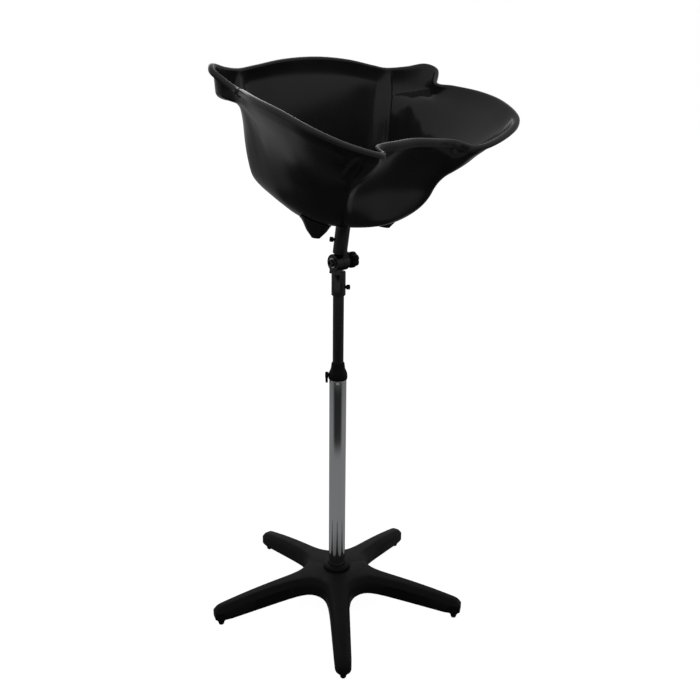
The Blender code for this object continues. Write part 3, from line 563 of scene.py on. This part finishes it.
def tilt_fasteners():
    face = DISC_T + 0.0016 + GAP
    bolt = [(0, -face - 0.0055), (0.0068, -face - 0.0055), (0.0075, -face - 0.0045), (0.0075, -face)]
    bolt += [(0.0040, -face), (0.0040, 0.0310), (0, 0.0310)]
    made = piece("tilt_bolt_head", turned(rounded(bolt, 0.0008), 64), PAINTED, "head", HEAD @ ALONG_X,
                 ["tilt_bolt"])
    socket = lofted([[(0.0036 * math.cos(math.radians(60 * i)), 0.0036 * math.sin(math.radians(60 * i)), z)
                      for i in range(6)] for z in (-face - 0.007, -face - 0.0022)])
    carve(made, [(socket, HEAD @ ALONG_X)])
    rings = []
    shape = ((0.0078, 0.0, 0.0), (0.0088, 0.0, 0.0003), (0.0090, 0.0, 0.0012), (0.0092, 0.0, 0.0062))
    shape += ((0.0096, 0.0, 0.0074), (0.0114, 0.0006, 0.0082), (0.0138, 0.0014, 0.0088))
    shape += ((0.0153, 0.0021, 0.0100), (0.0160, 0.0025, 0.0120), (0.0162, 0.0026, 0.0160))
    shape += ((0.0160, 0.0025, 0.0205), (0.0155, 0.0022, 0.0224), (0.0142, 0.0017, 0.0238))
    shape += ((0.0118, 0.0010, 0.0247), (0.0100, 0.0003, 0.0250), (0.0070, 0.0, 0.0248))
    shape += ((0.0060, 0.0, 0.0243),)
    for radius, depth, along in shape:
        rings.append(lobed_ring(radius, depth, 6, face + along, 120))
    knob = piece("tilt_hand_knob", lofted(rings), NYLON, "tilt_knob", HEAD @ ALONG_X, ["tilt_knob"],
                 45)
    carve(knob, [(rod(BOLT_HOLE_R, 0.0, 0.0316, 40), HEAD @ ALONG_X)])


# --- bowl ---------------------------------------------------------------------------------
# Half outlines from the middle of the back round to the middle of the neck rest, as
# (half width, forward, up) from the tilt bolt with the bowl leaning as it stands.
# Order: back middle, back, back end, kink, ear back, ear tip, ear end, notch, four lobe points,
# lobe front, step, neck corner, neck, neck middle.
RIM = [
    (0.000, -0.0765, 0.3730), (0.075, -0.0760, 0.3685), (0.138, -0.0745, 0.3580), (0.172, -0.0725, 0.3530),
    (0.213, -0.0565, 0.3555), (0.250, -0.0370, 0.3610), (0.262, -0.0120, 0.3515), (0.238, 0.0140, 0.3255),
    (0.247, 0.0480, 0.3215), (0.2620, 0.1080, 0.3120), (0.2590, 0.1700, 0.2965), (0.234, 0.2290, 0.2710),
    (0.178, 0.2490, 0.2475), (0.104, 0.2460, 0.2300), (0.087, 0.2120, 0.2375), (0.042, 0.2080, 0.2415),
    (0.000, 0.2050, 0.2435),
]
SHELF_WALL = [
    (0.000, -0.0755, 0.3530), (0.075, -0.0750, 0.3500), (0.138, -0.0738, 0.3420), (0.172, -0.0710, 0.3360),
    (0.211, -0.0540, 0.3320), (0.241, -0.0360, 0.3330), (0.248, -0.0110, 0.3300), (0.233, 0.0110, 0.3140),
    (0.238, 0.0460, 0.3090), (0.2490, 0.1040, 0.2980), (0.2440, 0.1610, 0.2820), (0.220, 0.2150, 0.2570),
    (0.170, 0.2350, 0.2355), (0.104, 0.2350, 0.2200), (0.087, 0.2030, 0.2270), (0.041, 0.1990, 0.2310),
    (0.000, 0.1960, 0.2335),
]
SHELF = [
    (0.000, -0.0750, 0.3300), (0.075, -0.0745, 0.3270), (0.139, -0.0735, 0.3200), (0.173, -0.0700, 0.3120),
    (0.210, -0.0530, 0.3080), (0.240, -0.0350, 0.3070), (0.246, -0.0100, 0.3070), (0.230, 0.0110, 0.3020),
    (0.230, 0.0440, 0.2940), (0.2350, 0.0990, 0.2800), (0.2290, 0.1500, 0.2640), (0.206, 0.1960, 0.2420),
    (0.161, 0.2150, 0.2230), (0.105, 0.2210, 0.2080), (0.083, 0.1970, 0.2110), (0.041, 0.1880, 0.2190),
    (0.000, 0.1860, 0.2220),
]
SHELF_EDGE = [
    (0.000, -0.0745, 0.2850), (0.074, -0.0740, 0.2850), (0.140, -0.0733, 0.2840), (0.167, -0.0660, 0.2880),
    (0.182, -0.0450, 0.2980), (0.191, -0.0260, 0.3010), (0.197, -0.0060, 0.3000), (0.203, 0.0140, 0.2910),
    (0.208, 0.0420, 0.2680), (0.2100, 0.0920, 0.2500), (0.2010, 0.1330, 0.2330), (0.179, 0.1700, 0.2140),
    (0.147, 0.1890, 0.1990), (0.108, 0.1990, 0.1900), (0.084, 0.1790, 0.1920), (0.040, 0.1720, 0.1980),
    (0.000, 0.1700, 0.2000),
]
WAIST = [
    (0.000, -0.0740, 0.2100), (0.072, -0.0738, 0.2100), (0.136, -0.0730, 0.2100), (0.163, -0.0670, 0.2100),
    (0.173, -0.0460, 0.2100), (0.177, -0.0220, 0.2100), (0.178, 0.0000, 0.2080), (0.178, 0.0210, 0.2050),
    (0.175, 0.0430, 0.2000), (0.1670, 0.0790, 0.1920), (0.1550, 0.1080, 0.1830), (0.136, 0.1310, 0.1750),
    (0.121, 0.1440, 0.1700), (0.107, 0.1530, 0.1650), (0.085, 0.1480, 0.1650), (0.040, 0.1450, 0.1650),
    (0.000, 0.1440, 0.1650),
]
BODY = [
    (0.000, -0.0730, 0.1550), (0.068, -0.0725, 0.1550), (0.124, -0.0705, 0.1550), (0.149, -0.0620, 0.1550),
    (0.158, -0.0420, 0.1530), (0.161, -0.0200, 0.1500), (0.161, 0.0010, 0.1460), (0.159, 0.0210, 0.1430),
    (0.154, 0.0420, 0.1400), (0.1440, 0.0740, 0.1340), (0.1310, 0.0990, 0.1290), (0.116, 0.1170, 0.1250),
    (0.107, 0.1270, 0.1220), (0.099, 0.1330, 0.1200), (0.080, 0.1320, 0.1190), (0.040, 0.1310, 0.1180),
    (0.000, 0.1300, 0.1180),
]
RIM_STEPS = 14              # curve points between two outline points
WALL_LEVELS = 96


def catmull(points, steps):
    """Closed centripetal curve through the points, so that tight corners stay tight."""
    count = len(points)
    out = []
    for i in range(count):
        p = [np.array(points[(i + k - 1) % count], float) for k in range(4)]
        knots = [0.0]
        for a, b in zip(p, p[1:]):
            knots.append(knots[-1] + max(np.linalg.norm(b - a), 1e-6) ** 0.5)
        t0, t1, t2, t3 = knots
        for s in range(steps):
            t = t1 + (t2 - t1) * s / steps
            a1 = (t1 - t) / (t1 - t0) * p[0] + (t - t0) / (t1 - t0) * p[1]
            a2 = (t2 - t) / (t2 - t1) * p[1] + (t - t1) / (t2 - t1) * p[2]
            a3 = (t3 - t) / (t3 - t2) * p[2] + (t - t2) / (t3 - t2) * p[3]
            b1 = (t2 - t) / (t2 - t0) * a1 + (t - t0) / (t2 - t0) * a2
            b2 = (t3 - t) / (t3 - t1) * a2 + (t - t1) / (t3 - t1) * a3
            out.append((t2 - t) / (t2 - t1) * b1 + (t - t1) / (t2 - t1) * b2)
    return out


def mirrored(half):
    """Whole outline, counter-clockwise from the middle of the back, in the bowl's upright frame."""
    def upright(x, forward, up):
        level = forward * math.cos(LEAN) - up * math.sin(LEAN)
        height = forward * math.sin(LEAN) + up * math.cos(LEAN)
        return (x, -level, height)
    left = [upright(-x, f, z) for x, f, z in half]
    right = [upright(x, f, z) for x, f, z in reversed(half[1:-1])]
    return left + right


def ellipse_outline(count, centre_y, half_x, half_y, z):
    """Outline with one point for each outline point of the walls, starting at the back."""
    turns = [math.pi / 2 + 2 * math.pi * i / count for i in range(count)]
    return [(half_x * math.cos(a), centre_y + half_y * math.sin(a), z) for a in turns]


def rim_outward(row, spread):
    """Horizontal outward direction along the rim, eased over tight corners."""
    along = np.roll(row, -1, axis=0) - np.roll(row, 1, axis=0)
    out = np.stack([along[:, 1], -along[:, 0], np.zeros(len(row))], axis=1)
    out /= np.maximum(np.linalg.norm(out, axis=1, keepdims=True), 1e-9)
    for _ in range(spread):
        out = (np.roll(out, 1, axis=0) + 2 * out + np.roll(out, -1, axis=0)) / 4
    return out if out[0][1] > 0 else -out


def wall_grid():
    """Outer face of the bowl as rows of points, from the rim down to the drain."""
    count = 2 * len(RIM) - 2
    outlines = [mirrored(half) for half in (RIM, SHELF_WALL, SHELF, SHELF_EDGE, WAIST, BODY)]
    outlines.append(ellipse_outline(count, -0.012, 0.116, 0.092, FLOOR_Z + 0.0040))
    outlines.append(ellipse_outline(count, -0.004, 0.088, 0.078, FLOOR_Z))
    outlines.append(ellipse_outline(count, DRAIN_Y * 0.5, 0.045, 0.042, FLOOR_Z))
    curves = [np.array(catmull(outline, RIM_STEPS)) for outline in outlines]
    spread = 3 * RIM_STEPS * RIM_STEPS // 4
    curves[0] = curves[0] - rim_outward(curves[0], spread) * LIP_OUT + np.array([0, 0, LIP_RISE])
    net = [curves[0]] + curves[1:] + [curves[-1]]
    rows = []
    spans = len(net) - 2
    for k in range(WALL_LEVELS):
        u = spans * k / (WALL_LEVELS - 1)
        i = min(int(u), spans - 1)
        t = u - i
        a, b, c = net[i], net[i + 1], net[i + 2]
        start = a if i == 0 else (a + b) / 2
        end = (b + c) / 2 if i < spans - 1 else b
        rows.append((1 - t) ** 2 * start + 2 * t * (1 - t) * b + t * t * end)
    return np.array(rows)


def grid_normals(grid, spread=4):
    """Outward unit normals of a grid of closed rows, eased along the rows."""
    along = np.roll(grid, -1, axis=1) - np.roll(grid, 1, axis=1)
    down = np.gradient(grid, axis=0)
    normals = np.cross(down, along)
    for _ in range(spread):
        normals = (np.roll(normals, 1, axis=1) + 2 * normals + np.roll(normals, -1, axis=1)) / 4
    normals /= np.maximum(np.linalg.norm(normals, axis=2, keepdims=True), 1e-12)
    return normals if normals[len(grid) // 2][0][1] > 0 else -normals


def pilasters(grid):
    """A fold in the wall under each kink of the rim: a slow swell from the back, then a quick return."""
    moved = grid.copy()
    count = grid.shape[1]
    for kink, way in ((3 * RIM_STEPS, 1), (count - 3 * RIM_STEPS, -1)):
        for k, row in enumerate(grid):
            span = row[[(kink + way * j) % count for j in range(-3 * RIM_STEPS, 2 * RIM_STEPS)]]
            steps = np.linalg.norm(np.diff(span, axis=0), axis=1)
            run = np.concatenate([[0], np.cumsum(steps)])
            run = run - run[3 * RIM_STEPS] - 0.006
            depth = (row[kink][2] - 0.150) / (0.340 - 0.150)
            tall = float(smooth_step(min(depth, 1.0) * 4)) * float(smooth_step((1.02 - depth) * 4))
            wide = 0.045 - 0.020 * depth
            swell = np.where(run < 0, smooth_step(1 + run / wide), smooth_step(1 - run / 0.008))
            for j, amount in enumerate(swell):
                column = (kink + way * (j - 3 * RIM_STEPS)) % count
                moved[k, column, 1] -= 0.0085 * tall * amount
    return moved


def dimples(grid, normals):
    """A leaf-shaped hollow pressed into the outside of each front corner, under the lobe's step."""
    moved = grid.copy()
    for side in (-1, 1):
        start = np.array([side * 0.1335, -0.1430, 0.2180])
        end = np.array([side * 0.1480, -0.1925, 0.2660])
        along = (end - start) / np.linalg.norm(end - start)
        offset = grid - start
        run = offset @ along / np.linalg.norm(end - start)
        away = np.linalg.norm(offset - (offset @ along)[..., None] * along, axis=2)
        half = 0.0095 * np.sqrt(np.clip(4 * run * (1 - run), 0, 1)) * (1.15 - 0.5 * run)
        deep = smooth_step((half - away) / 0.0045 + 0.5) * (half > 0.0005)
        moved -= normals * (0.0034 * deep)[..., None]
    return moved


LIP = ((-0.0034, -0.0005), (-0.0026, 0.0004), (-0.0010, 0.0010), (0.0010, 0.0011), (0.0030, 0.0009),
       (0.0048, 0.0002), (0.0060, -0.0009), (0.0067, -0.0024), (0.0070, -0.0042), (0.0070, -0.0070),
       (0.0069, -0.0080), (0.0065, -0.0085), (0.0060, -0.0085), (0.0056, -0.0080), (0.0054, -0.0068),
       (0.0051, -0.0054), (0.0044, -0.0046), (0.0032, -0.0042), (0.0018, -0.0043))


def bowl_walls():
    grid = pilasters(wall_grid())
    normals = grid_normals(grid)
    inner = grid - normals * SHELL_T
    return dimples(grid, normals), inner


def bowl(grid, inner):
    rim = grid[0]
    out = rim_outward(rim, 3 * RIM_STEPS * RIM_STEPS // 4)
    up = np.array([0.0, 0.0, 1.0])
    deeper = smooth_step((0.120 - np.abs(rim[:, :1])) / 0.030) * (rim[:, 1:2] < 0) * 0.0050
    lip = [rim + out * across + up * (rise - deeper * (rise < -0.003)) for across, rise in LIP]
    inner_start = next(k for k in range(WALL_LEVELS) if np.min(rim[:, 2] - grid[k][:, 2]) > 0.0018)
    outer_start = next(k for k in range(WALL_LEVELS) if np.min(rim[:, 2] - grid[k][:, 2]) > 0.0050)
    count = grid.shape[1]
    turns = math.pi / 2 + 2 * np.pi * np.arange(count) / count
    floor = []
    for t in (0.25, 0.5, 0.72, 0.88, 1.0):
        hole = np.stack([DRAIN_R * np.cos(turns), DRAIN_Y + DRAIN_R * np.sin(turns), turns * 0], axis=1)
        flat_row = grid[-1] * (1 - t) + hole * t
        flat_row[:, 2] = FLOOR_Z
        floor.append(flat_row)
    inside = [row + up * SHELL_T for row in floor]
    rings = inside[::-1] + list(inner[inner_start:][::-1]) + lip + list(grid[outer_start:]) + floor
    return piece("bowl_moulding", lofted(rings, loop=True), GLOSS, "bowl", LEANING, ["bowl_shell"],
                 60)


def bowl_feet(grid):
    """Two tapered feet that flare into the underside of the bowl."""
    rows, count = grid.shape[:2]
    faces = []
    for k in range(rows - 1):
        for i in range(count):
            j = (i + 1) % count
            faces.append((k * count + i, k * count + j, (k + 1) * count + j, (k + 1) * count + i))
    skin = BVHTree.FromPolygons([Vector(p) for p in grid.reshape(-1, 3)], faces)
    levels = ((0.0708, 0.0100, 0.0066), (0.0709, 0.0112, 0.0078), (0.0714, 0.0122, 0.0088),
              (0.0728, 0.0130, 0.0096), (0.0860, 0.0220, 0.0195), (0.1250, 0.0390, 0.0390))
    for side, word in ((-1, "left"), (1, "right")):
        turn = Matrix.Rotation(math.radians(-50 if side > 0 else -130), 4, "Z")
        spot = Matrix.Translation((side * 0.083, -0.024, 0)) @ turn
        columns = []
        for i in range(64):
            a = 2 * math.pi * i / 64
            line = [spot @ Vector((l * squared(math.cos(a), 0.6), w * squared(math.sin(a), 0.6), z))
                    for z, l, w in levels]
            away = (line[5] - line[4]).normalized()
            hit = skin.ray_cast(line[3], (line[4] - line[3]).normalized(), (line[4] - line[3]).length)[0]
            start = line[3]
            if hit is None:
                start = line[4]
                hit = skin.ray_cast(line[4], away)[0]
            else:
                away = (line[4] - line[3]).normalized()
            hit = hit - away * 0.0006
            flare = Vector((away.x, away.y, 0)).normalized()
            top = []
            for t in (0.35, 0.6, 0.8, 0.92, 1.0):
                top.append(start.lerp(hit, t) + flare * 0.0025 * max(t - 0.6, 0) ** 2 / 0.16)
            columns.append(line[:4] + ([line[4]] if start == line[4] else [line[3].lerp(hit, 0.2)]) + top)
        rings = [[column[k] for column in columns] for k in range(len(columns[0]))]
        piece(f"bowl_foot_{word}_moulding", lofted(rings), GLOSS, "bowl", LEANING, [f"bowl_foot_{word}"],
              50)


def spigot():
    plate_top = FLOOR_Z - GAP
    plate_low = plate_top - 0.0030
    bottom = SOCKET_START + SOCKET_FLOOR + GAP
    bore = INNER_R - TUBE_WALL
    profile = [(bore, bottom), (INNER_R, bottom), (INNER_R, plate_low - 0.006)]
    profile += [(INNER_R + 0.002, plate_low), (0.0255, plate_low), (0.0255, plate_top), (bore, plate_top)]
    plate = piece("spigot_flange", turned(rounded(profile, 0.0006), 96), PAINTED, "bowl", LEANING,
                  ["bowl_spigot"])
    for i in range(4):
        a = math.radians(45 + 90 * i)
        place = LEANING @ Matrix.Translation((0.0190 * math.cos(a), 0.0190 * math.sin(a), 0))
        carve(plate, [(rod(0.0023, 0.09, 0.13), place)])
        head = plate_low - GAP
        screw = [(0, head - 0.0024), (0.0024, head - 0.0022), (0.0042, head - 0.0008), (0.0042, head)]
        screw += [(0.0020, head), (0.0020, plate_top), (0, plate_top)]
        made = piece(f"flange_screw_{i + 1}", turned(rounded(screw, 0.0006), 40), ZINC, "bowl", place,
                     [f"spigot_screw_{i + 1}"])
        slots = []
        for long_x, long_y in ((0.0022, 0.0005), (0.0005, 0.0022)):
            corners = ((-long_x, -long_y), (long_x, -long_y), (long_x, long_y), (-long_x, long_y))
            levels = (head - 0.003, head - 0.0012)
            slots.append((lofted([[(x, y, z) for x, y in corners] for z in levels]), place))
        carve(made, slots)


def drain():
    place = LEANING @ Matrix.Translation((0, DRAIN_Y, 0))
    gasket_top = FLOOR_Z + SHELL_T + GAP + 0.0012
    flange = gasket_top + GAP
    neck = 0.0166
    end = FLOOR_Z - 0.0245
    body = [(0.0145, end), (neck, end), (neck, flange), (0.0215, flange), (0.0215, flange + 0.0012)]
    body += [(0.0190, flange + 0.0024), (0.0150, flange + 0.0010), (0.0145, flange - 0.0030)]
    piece("drain_flange", turned(rounded(body, 0.0008), 96), CHROME, "bowl", place, ["drain_body"])
    top = flange - 0.0012
    disc = rounded([(0, top - 0.0014), (0.0138, top - 0.0014), (0.0138, top), (0, top)], 0.0005)
    strainer = piece("drain_strainer_disc", turned(disc, 72), CHROME, "bowl", place, ["drain_strainer"])
    holes = [(rod(0.0028, 0.1, 0.13, 28), place)]
    for i in range(6):
        turn = Matrix.Rotation(math.radians(13 + 60 * i), 4, "Z")
        holes.append((rod(0.0028, 0.1, 0.13, 28), place @ turn @ Matrix.Translation((0.0085, 0, 0))))
    carve(strainer, holes)
    nut_top = FLOOR_Z - 2 * GAP - 0.0015
    low = nut_top - 0.0090
    bore = neck + GAP
    rings = [lobed_ring(r, d, 8, z, 128) for r, d, z in (
        (0.0192, 0.0, low), (0.0200, 0.0002, low + 0.0002), (0.0208, 0.0008, low + 0.0007),
        (0.0212, 0.0012, low + 0.0014), (0.0212, 0.0012, nut_top - 0.0008), (0.0208, 0.0010, nut_top))]
    nut = piece("drain_back_nut", lofted(rings), NYLON, "bowl", place, ["drain_nut"])
    carve(nut, [(rod(bore, 0.08, 0.13, 72), place)])
    top = low - 0.0020
    shelf = end - GAP
    tail = [(0.0080, shelf - 0.0165), (0.0098, shelf - 0.0165), (0.0110, shelf - 0.0130)]
    tail += [(0.0098, shelf - 0.0122), (0.0110, shelf - 0.0088), (0.0098, shelf - 0.0080)]
    tail += [(0.0098, shelf - 0.004), (0.0205, shelf - 0.003), (0.0205, top), (bore, top), (bore, shelf)]
    tail += [(0.0080, shelf)]
    piece("hose_tail", turned(rounded(tail, 0.0006), 96), NYLON, "bowl", place, ["drain_hose_tail"])


# --- carried-over nodes -------------------------------------------------------------------
def dress_frame():
    """Finishes for the CAD nodes that stay, most of them hidden inside the assembly."""
    finishes = {"base_washer": ZINC, "tube_end_plug": ZINC, "tilt_washer_left": ZINC,
                "tilt_washer_right": ZINC, "inner_tube_shoe": NYLON, "drain_gasket": RUBBER,
                "drain_washer": RUBBER}
    for name, mat in finishes.items():
        node = frame["nodes"][name]
        node.data.materials.clear()
        node.data.materials.append(mat)


# --- studio -------------------------------------------------------------------------------
def camera():
    """Three-quarter viewpoint: left of the neck rest, a little above the rim, looking down."""
    yaw, pitch, roll = math.radians(39.86), math.radians(18.84), 0.01104
    distance, height, aside = 1.6496, 1.1440, 0.0238
    right = Vector((math.cos(yaw), -math.sin(yaw), 0))
    level = Vector((math.sin(yaw), math.cos(yaw), 0))
    forward = level * math.cos(pitch) - Vector((0, 0, 1)) * math.sin(pitch)
    up = right.cross(forward)
    turned_right = right * math.cos(roll) + up * math.sin(roll)
    turned_up = up * math.cos(roll) - right * math.sin(roll)
    lens = bpy.data.cameras.new("camera")
    lens.sensor_width = 36.0
    lens.lens = 44.753
    lens.clip_end = 50.0
    made = bpy.data.objects.new("camera", lens)
    bpy.context.scene.collection.objects.link(made)
    spot = Vector((0, PIVOT.y, height)) - level * distance + right * aside
    turn = Matrix((turned_right, turned_up, -forward)).transposed().to_4x4()
    made.matrix_world = Matrix.Translation(spot) @ turn
    bpy.context.scene.camera = made


def floor():
    mesh = bpy.data.meshes.new("floor")
    bm = bmesh.new()
    bmesh.ops.create_circle(bm, cap_ends=True, segments=96, radius=14.0)
    bm.to_mesh(mesh)
    bm.free()
    made = bpy.data.objects.new("floor", mesh)
    bpy.context.scene.collection.objects.link(made)
    made.location.z = -0.0002
    made.visible_glossy = False
    made.visible_diffuse = False
    mat = bpy.data.materials.new("pale_floor")
    mat.use_nodes = True
    shader = mat.node_tree.nodes["Principled BSDF"]
    shader.inputs["Base Color"].default_value = (0.10, 0.10, 0.10, 1)
    shader.inputs["Roughness"].default_value = 0.9
    shader.inputs["Specular IOR Level"].default_value = 0.0
    shader.inputs["Emission Color"].default_value = (1, 1, 1, 1)
    shader.inputs["Emission Strength"].default_value = 0.97
    mesh.materials.append(mat)


def area_light(name, place, target, size, power, mirrored_in_gloss):
    data = bpy.data.lights.new(name, "AREA")
    data.shape = "RECTANGLE"
    data.size, data.size_y = size
    data.energy = power
    made = bpy.data.objects.new(name, data)
    bpy.context.scene.collection.objects.link(made)
    made.visible_glossy = mirrored_in_gloss
    made.location = place
    made.rotation_euler = (Vector(target) - Vector(place)).to_track_quat("-Z", "Y").to_euler()


def studio():
    """White backdrop, a soft sky with a dim patch on the camera's side, and three soft boxes."""
    world = bpy.data.worlds.new("studio")
    bpy.context.scene.world = world
    world.use_nodes = True
    nodes, links = world.node_tree.nodes, world.node_tree.links
    coords = nodes.new("ShaderNodeTexCoord")
    split = nodes.new("ShaderNodeSeparateXYZ")
    links.new(coords.outputs["Generated"], split.inputs["Vector"])

    def ramp(source, low, high, stops):
        spread = nodes.new("ShaderNodeMapRange")
        spread.inputs["From Min"].default_value = low
        spread.inputs["From Max"].default_value = high
        links.new(source, spread.inputs["Value"])
        made = nodes.new("ShaderNodeValToRGB")
        while len(made.color_ramp.elements) < len(stops):
            made.color_ramp.elements.new(0.5)
        for element, (at, grey) in zip(made.color_ramp.elements, stops):
            element.position = (at - low) / (high - low)
            element.color = (grey, grey, grey, 1)
        links.new(spread.outputs["Result"], made.inputs["Fac"])
        return made.outputs["Color"]

    def joined(kind, first, second):
        made = nodes.new("ShaderNodeMixRGB")
        made.blend_type = kind
        made.inputs["Fac"].default_value = 1.0
        links.new(first, made.inputs["Color1"])
        links.new(second, made.inputs["Color2"])
        return made.outputs["Color"]

    height = split.outputs["Z"]
    sky = ramp(height, -1, 1, ((-1.0, 0.04), (-0.64, 0.04), (-0.56, 0.26), (-0.34, 0.26), (-0.24, 0.20),
                               (0.0, 0.50), (1.0, 0.54)))
    facing = nodes.new("ShaderNodeVectorMath")
    facing.operation = "DOT_PRODUCT"
    facing.inputs[1].default_value = (-0.6409, -0.7676, 0)
    links.new(coords.outputs["Generated"], facing.inputs[0])
    aside = ramp(facing.outputs["Value"], -1, 1, ((0.35, 0.0), (0.75, 1.0), (1.0, 1.0)))
    band = ramp(height, -1, 1, ((-0.40, 0.0), (-0.365, 1.0), (-0.25, 1.0), (-0.18, 0.0)))
    dim = joined("MULTIPLY", aside, band)
    clear = nodes.new("ShaderNodeInvert")
    links.new(dim, clear.inputs["Color"])
    lifted = ramp(clear.outputs["Color"], 0, 1, ((0.0, 0.12), (1.0, 1.0)))
    backdrop = nodes["Background"]
    links.new(joined("MULTIPLY", sky, lifted), backdrop.inputs["Color"])
    white = nodes.new("ShaderNodeBackground")
    white.inputs["Color"].default_value = (1, 1, 1, 1)
    path = nodes.new("ShaderNodeLightPath")
    mix = nodes.new("ShaderNodeMixShader")
    links.new(path.outputs["Is Camera Ray"], mix.inputs["Fac"])
    links.new(backdrop.outputs["Background"], mix.inputs[1])
    links.new(white.outputs["Background"], mix.inputs[2])
    links.new(mix.outputs["Shader"], nodes["World Output"].inputs["Surface"])
    area_light("key", (-0.9, -0.7, 3.4), (0, 0, 0.8), (2.2, 2.2), 24, False)
    area_light("fill", (1.0, -0.3, 3.4), (0, 0, 0.8), (2.0, 2.0), 22, False)
    area_light("back", (1.3, 3.1, 2.35), (0, 0, 1.1), (3.4, 1.1), 14, True)
    bpy.context.scene.view_settings.view_transform = "Standard"


camera()
floor()
studio()
star_base()
glides()
hex_bolt()
mast()
knuckle("lower_knuckle_casting", "lower_knuckle", -1, LOWER_SOCKET_END, SCREW_RIGHT, LOWER_SCREW_Z,
        "head", HEAD)
knuckle("upper_knuckle_casting", "upper_knuckle", 1, UPPER_SOCKET_TOP, SCREW_LEFT, UPPER_SCREW_Z,
        "tilt", LEANING)
thumb_screw("lower_hand_screw", "lower_thumb_screw", SCREW_RIGHT, LOWER_SCREW_Z, "lower_thumb_screw", HEAD)
thumb_screw("upper_hand_screw", "upper_thumb_screw", SCREW_LEFT, UPPER_SCREW_Z, "upper_thumb_screw", LEANING)
tilt_fasteners()
OUTER_WALL, INNER_WALL = bowl_walls()
bowl(OUTER_WALL, INNER_WALL)
bowl_feet(OUTER_WALL)
spigot()
drain()
dress_frame()
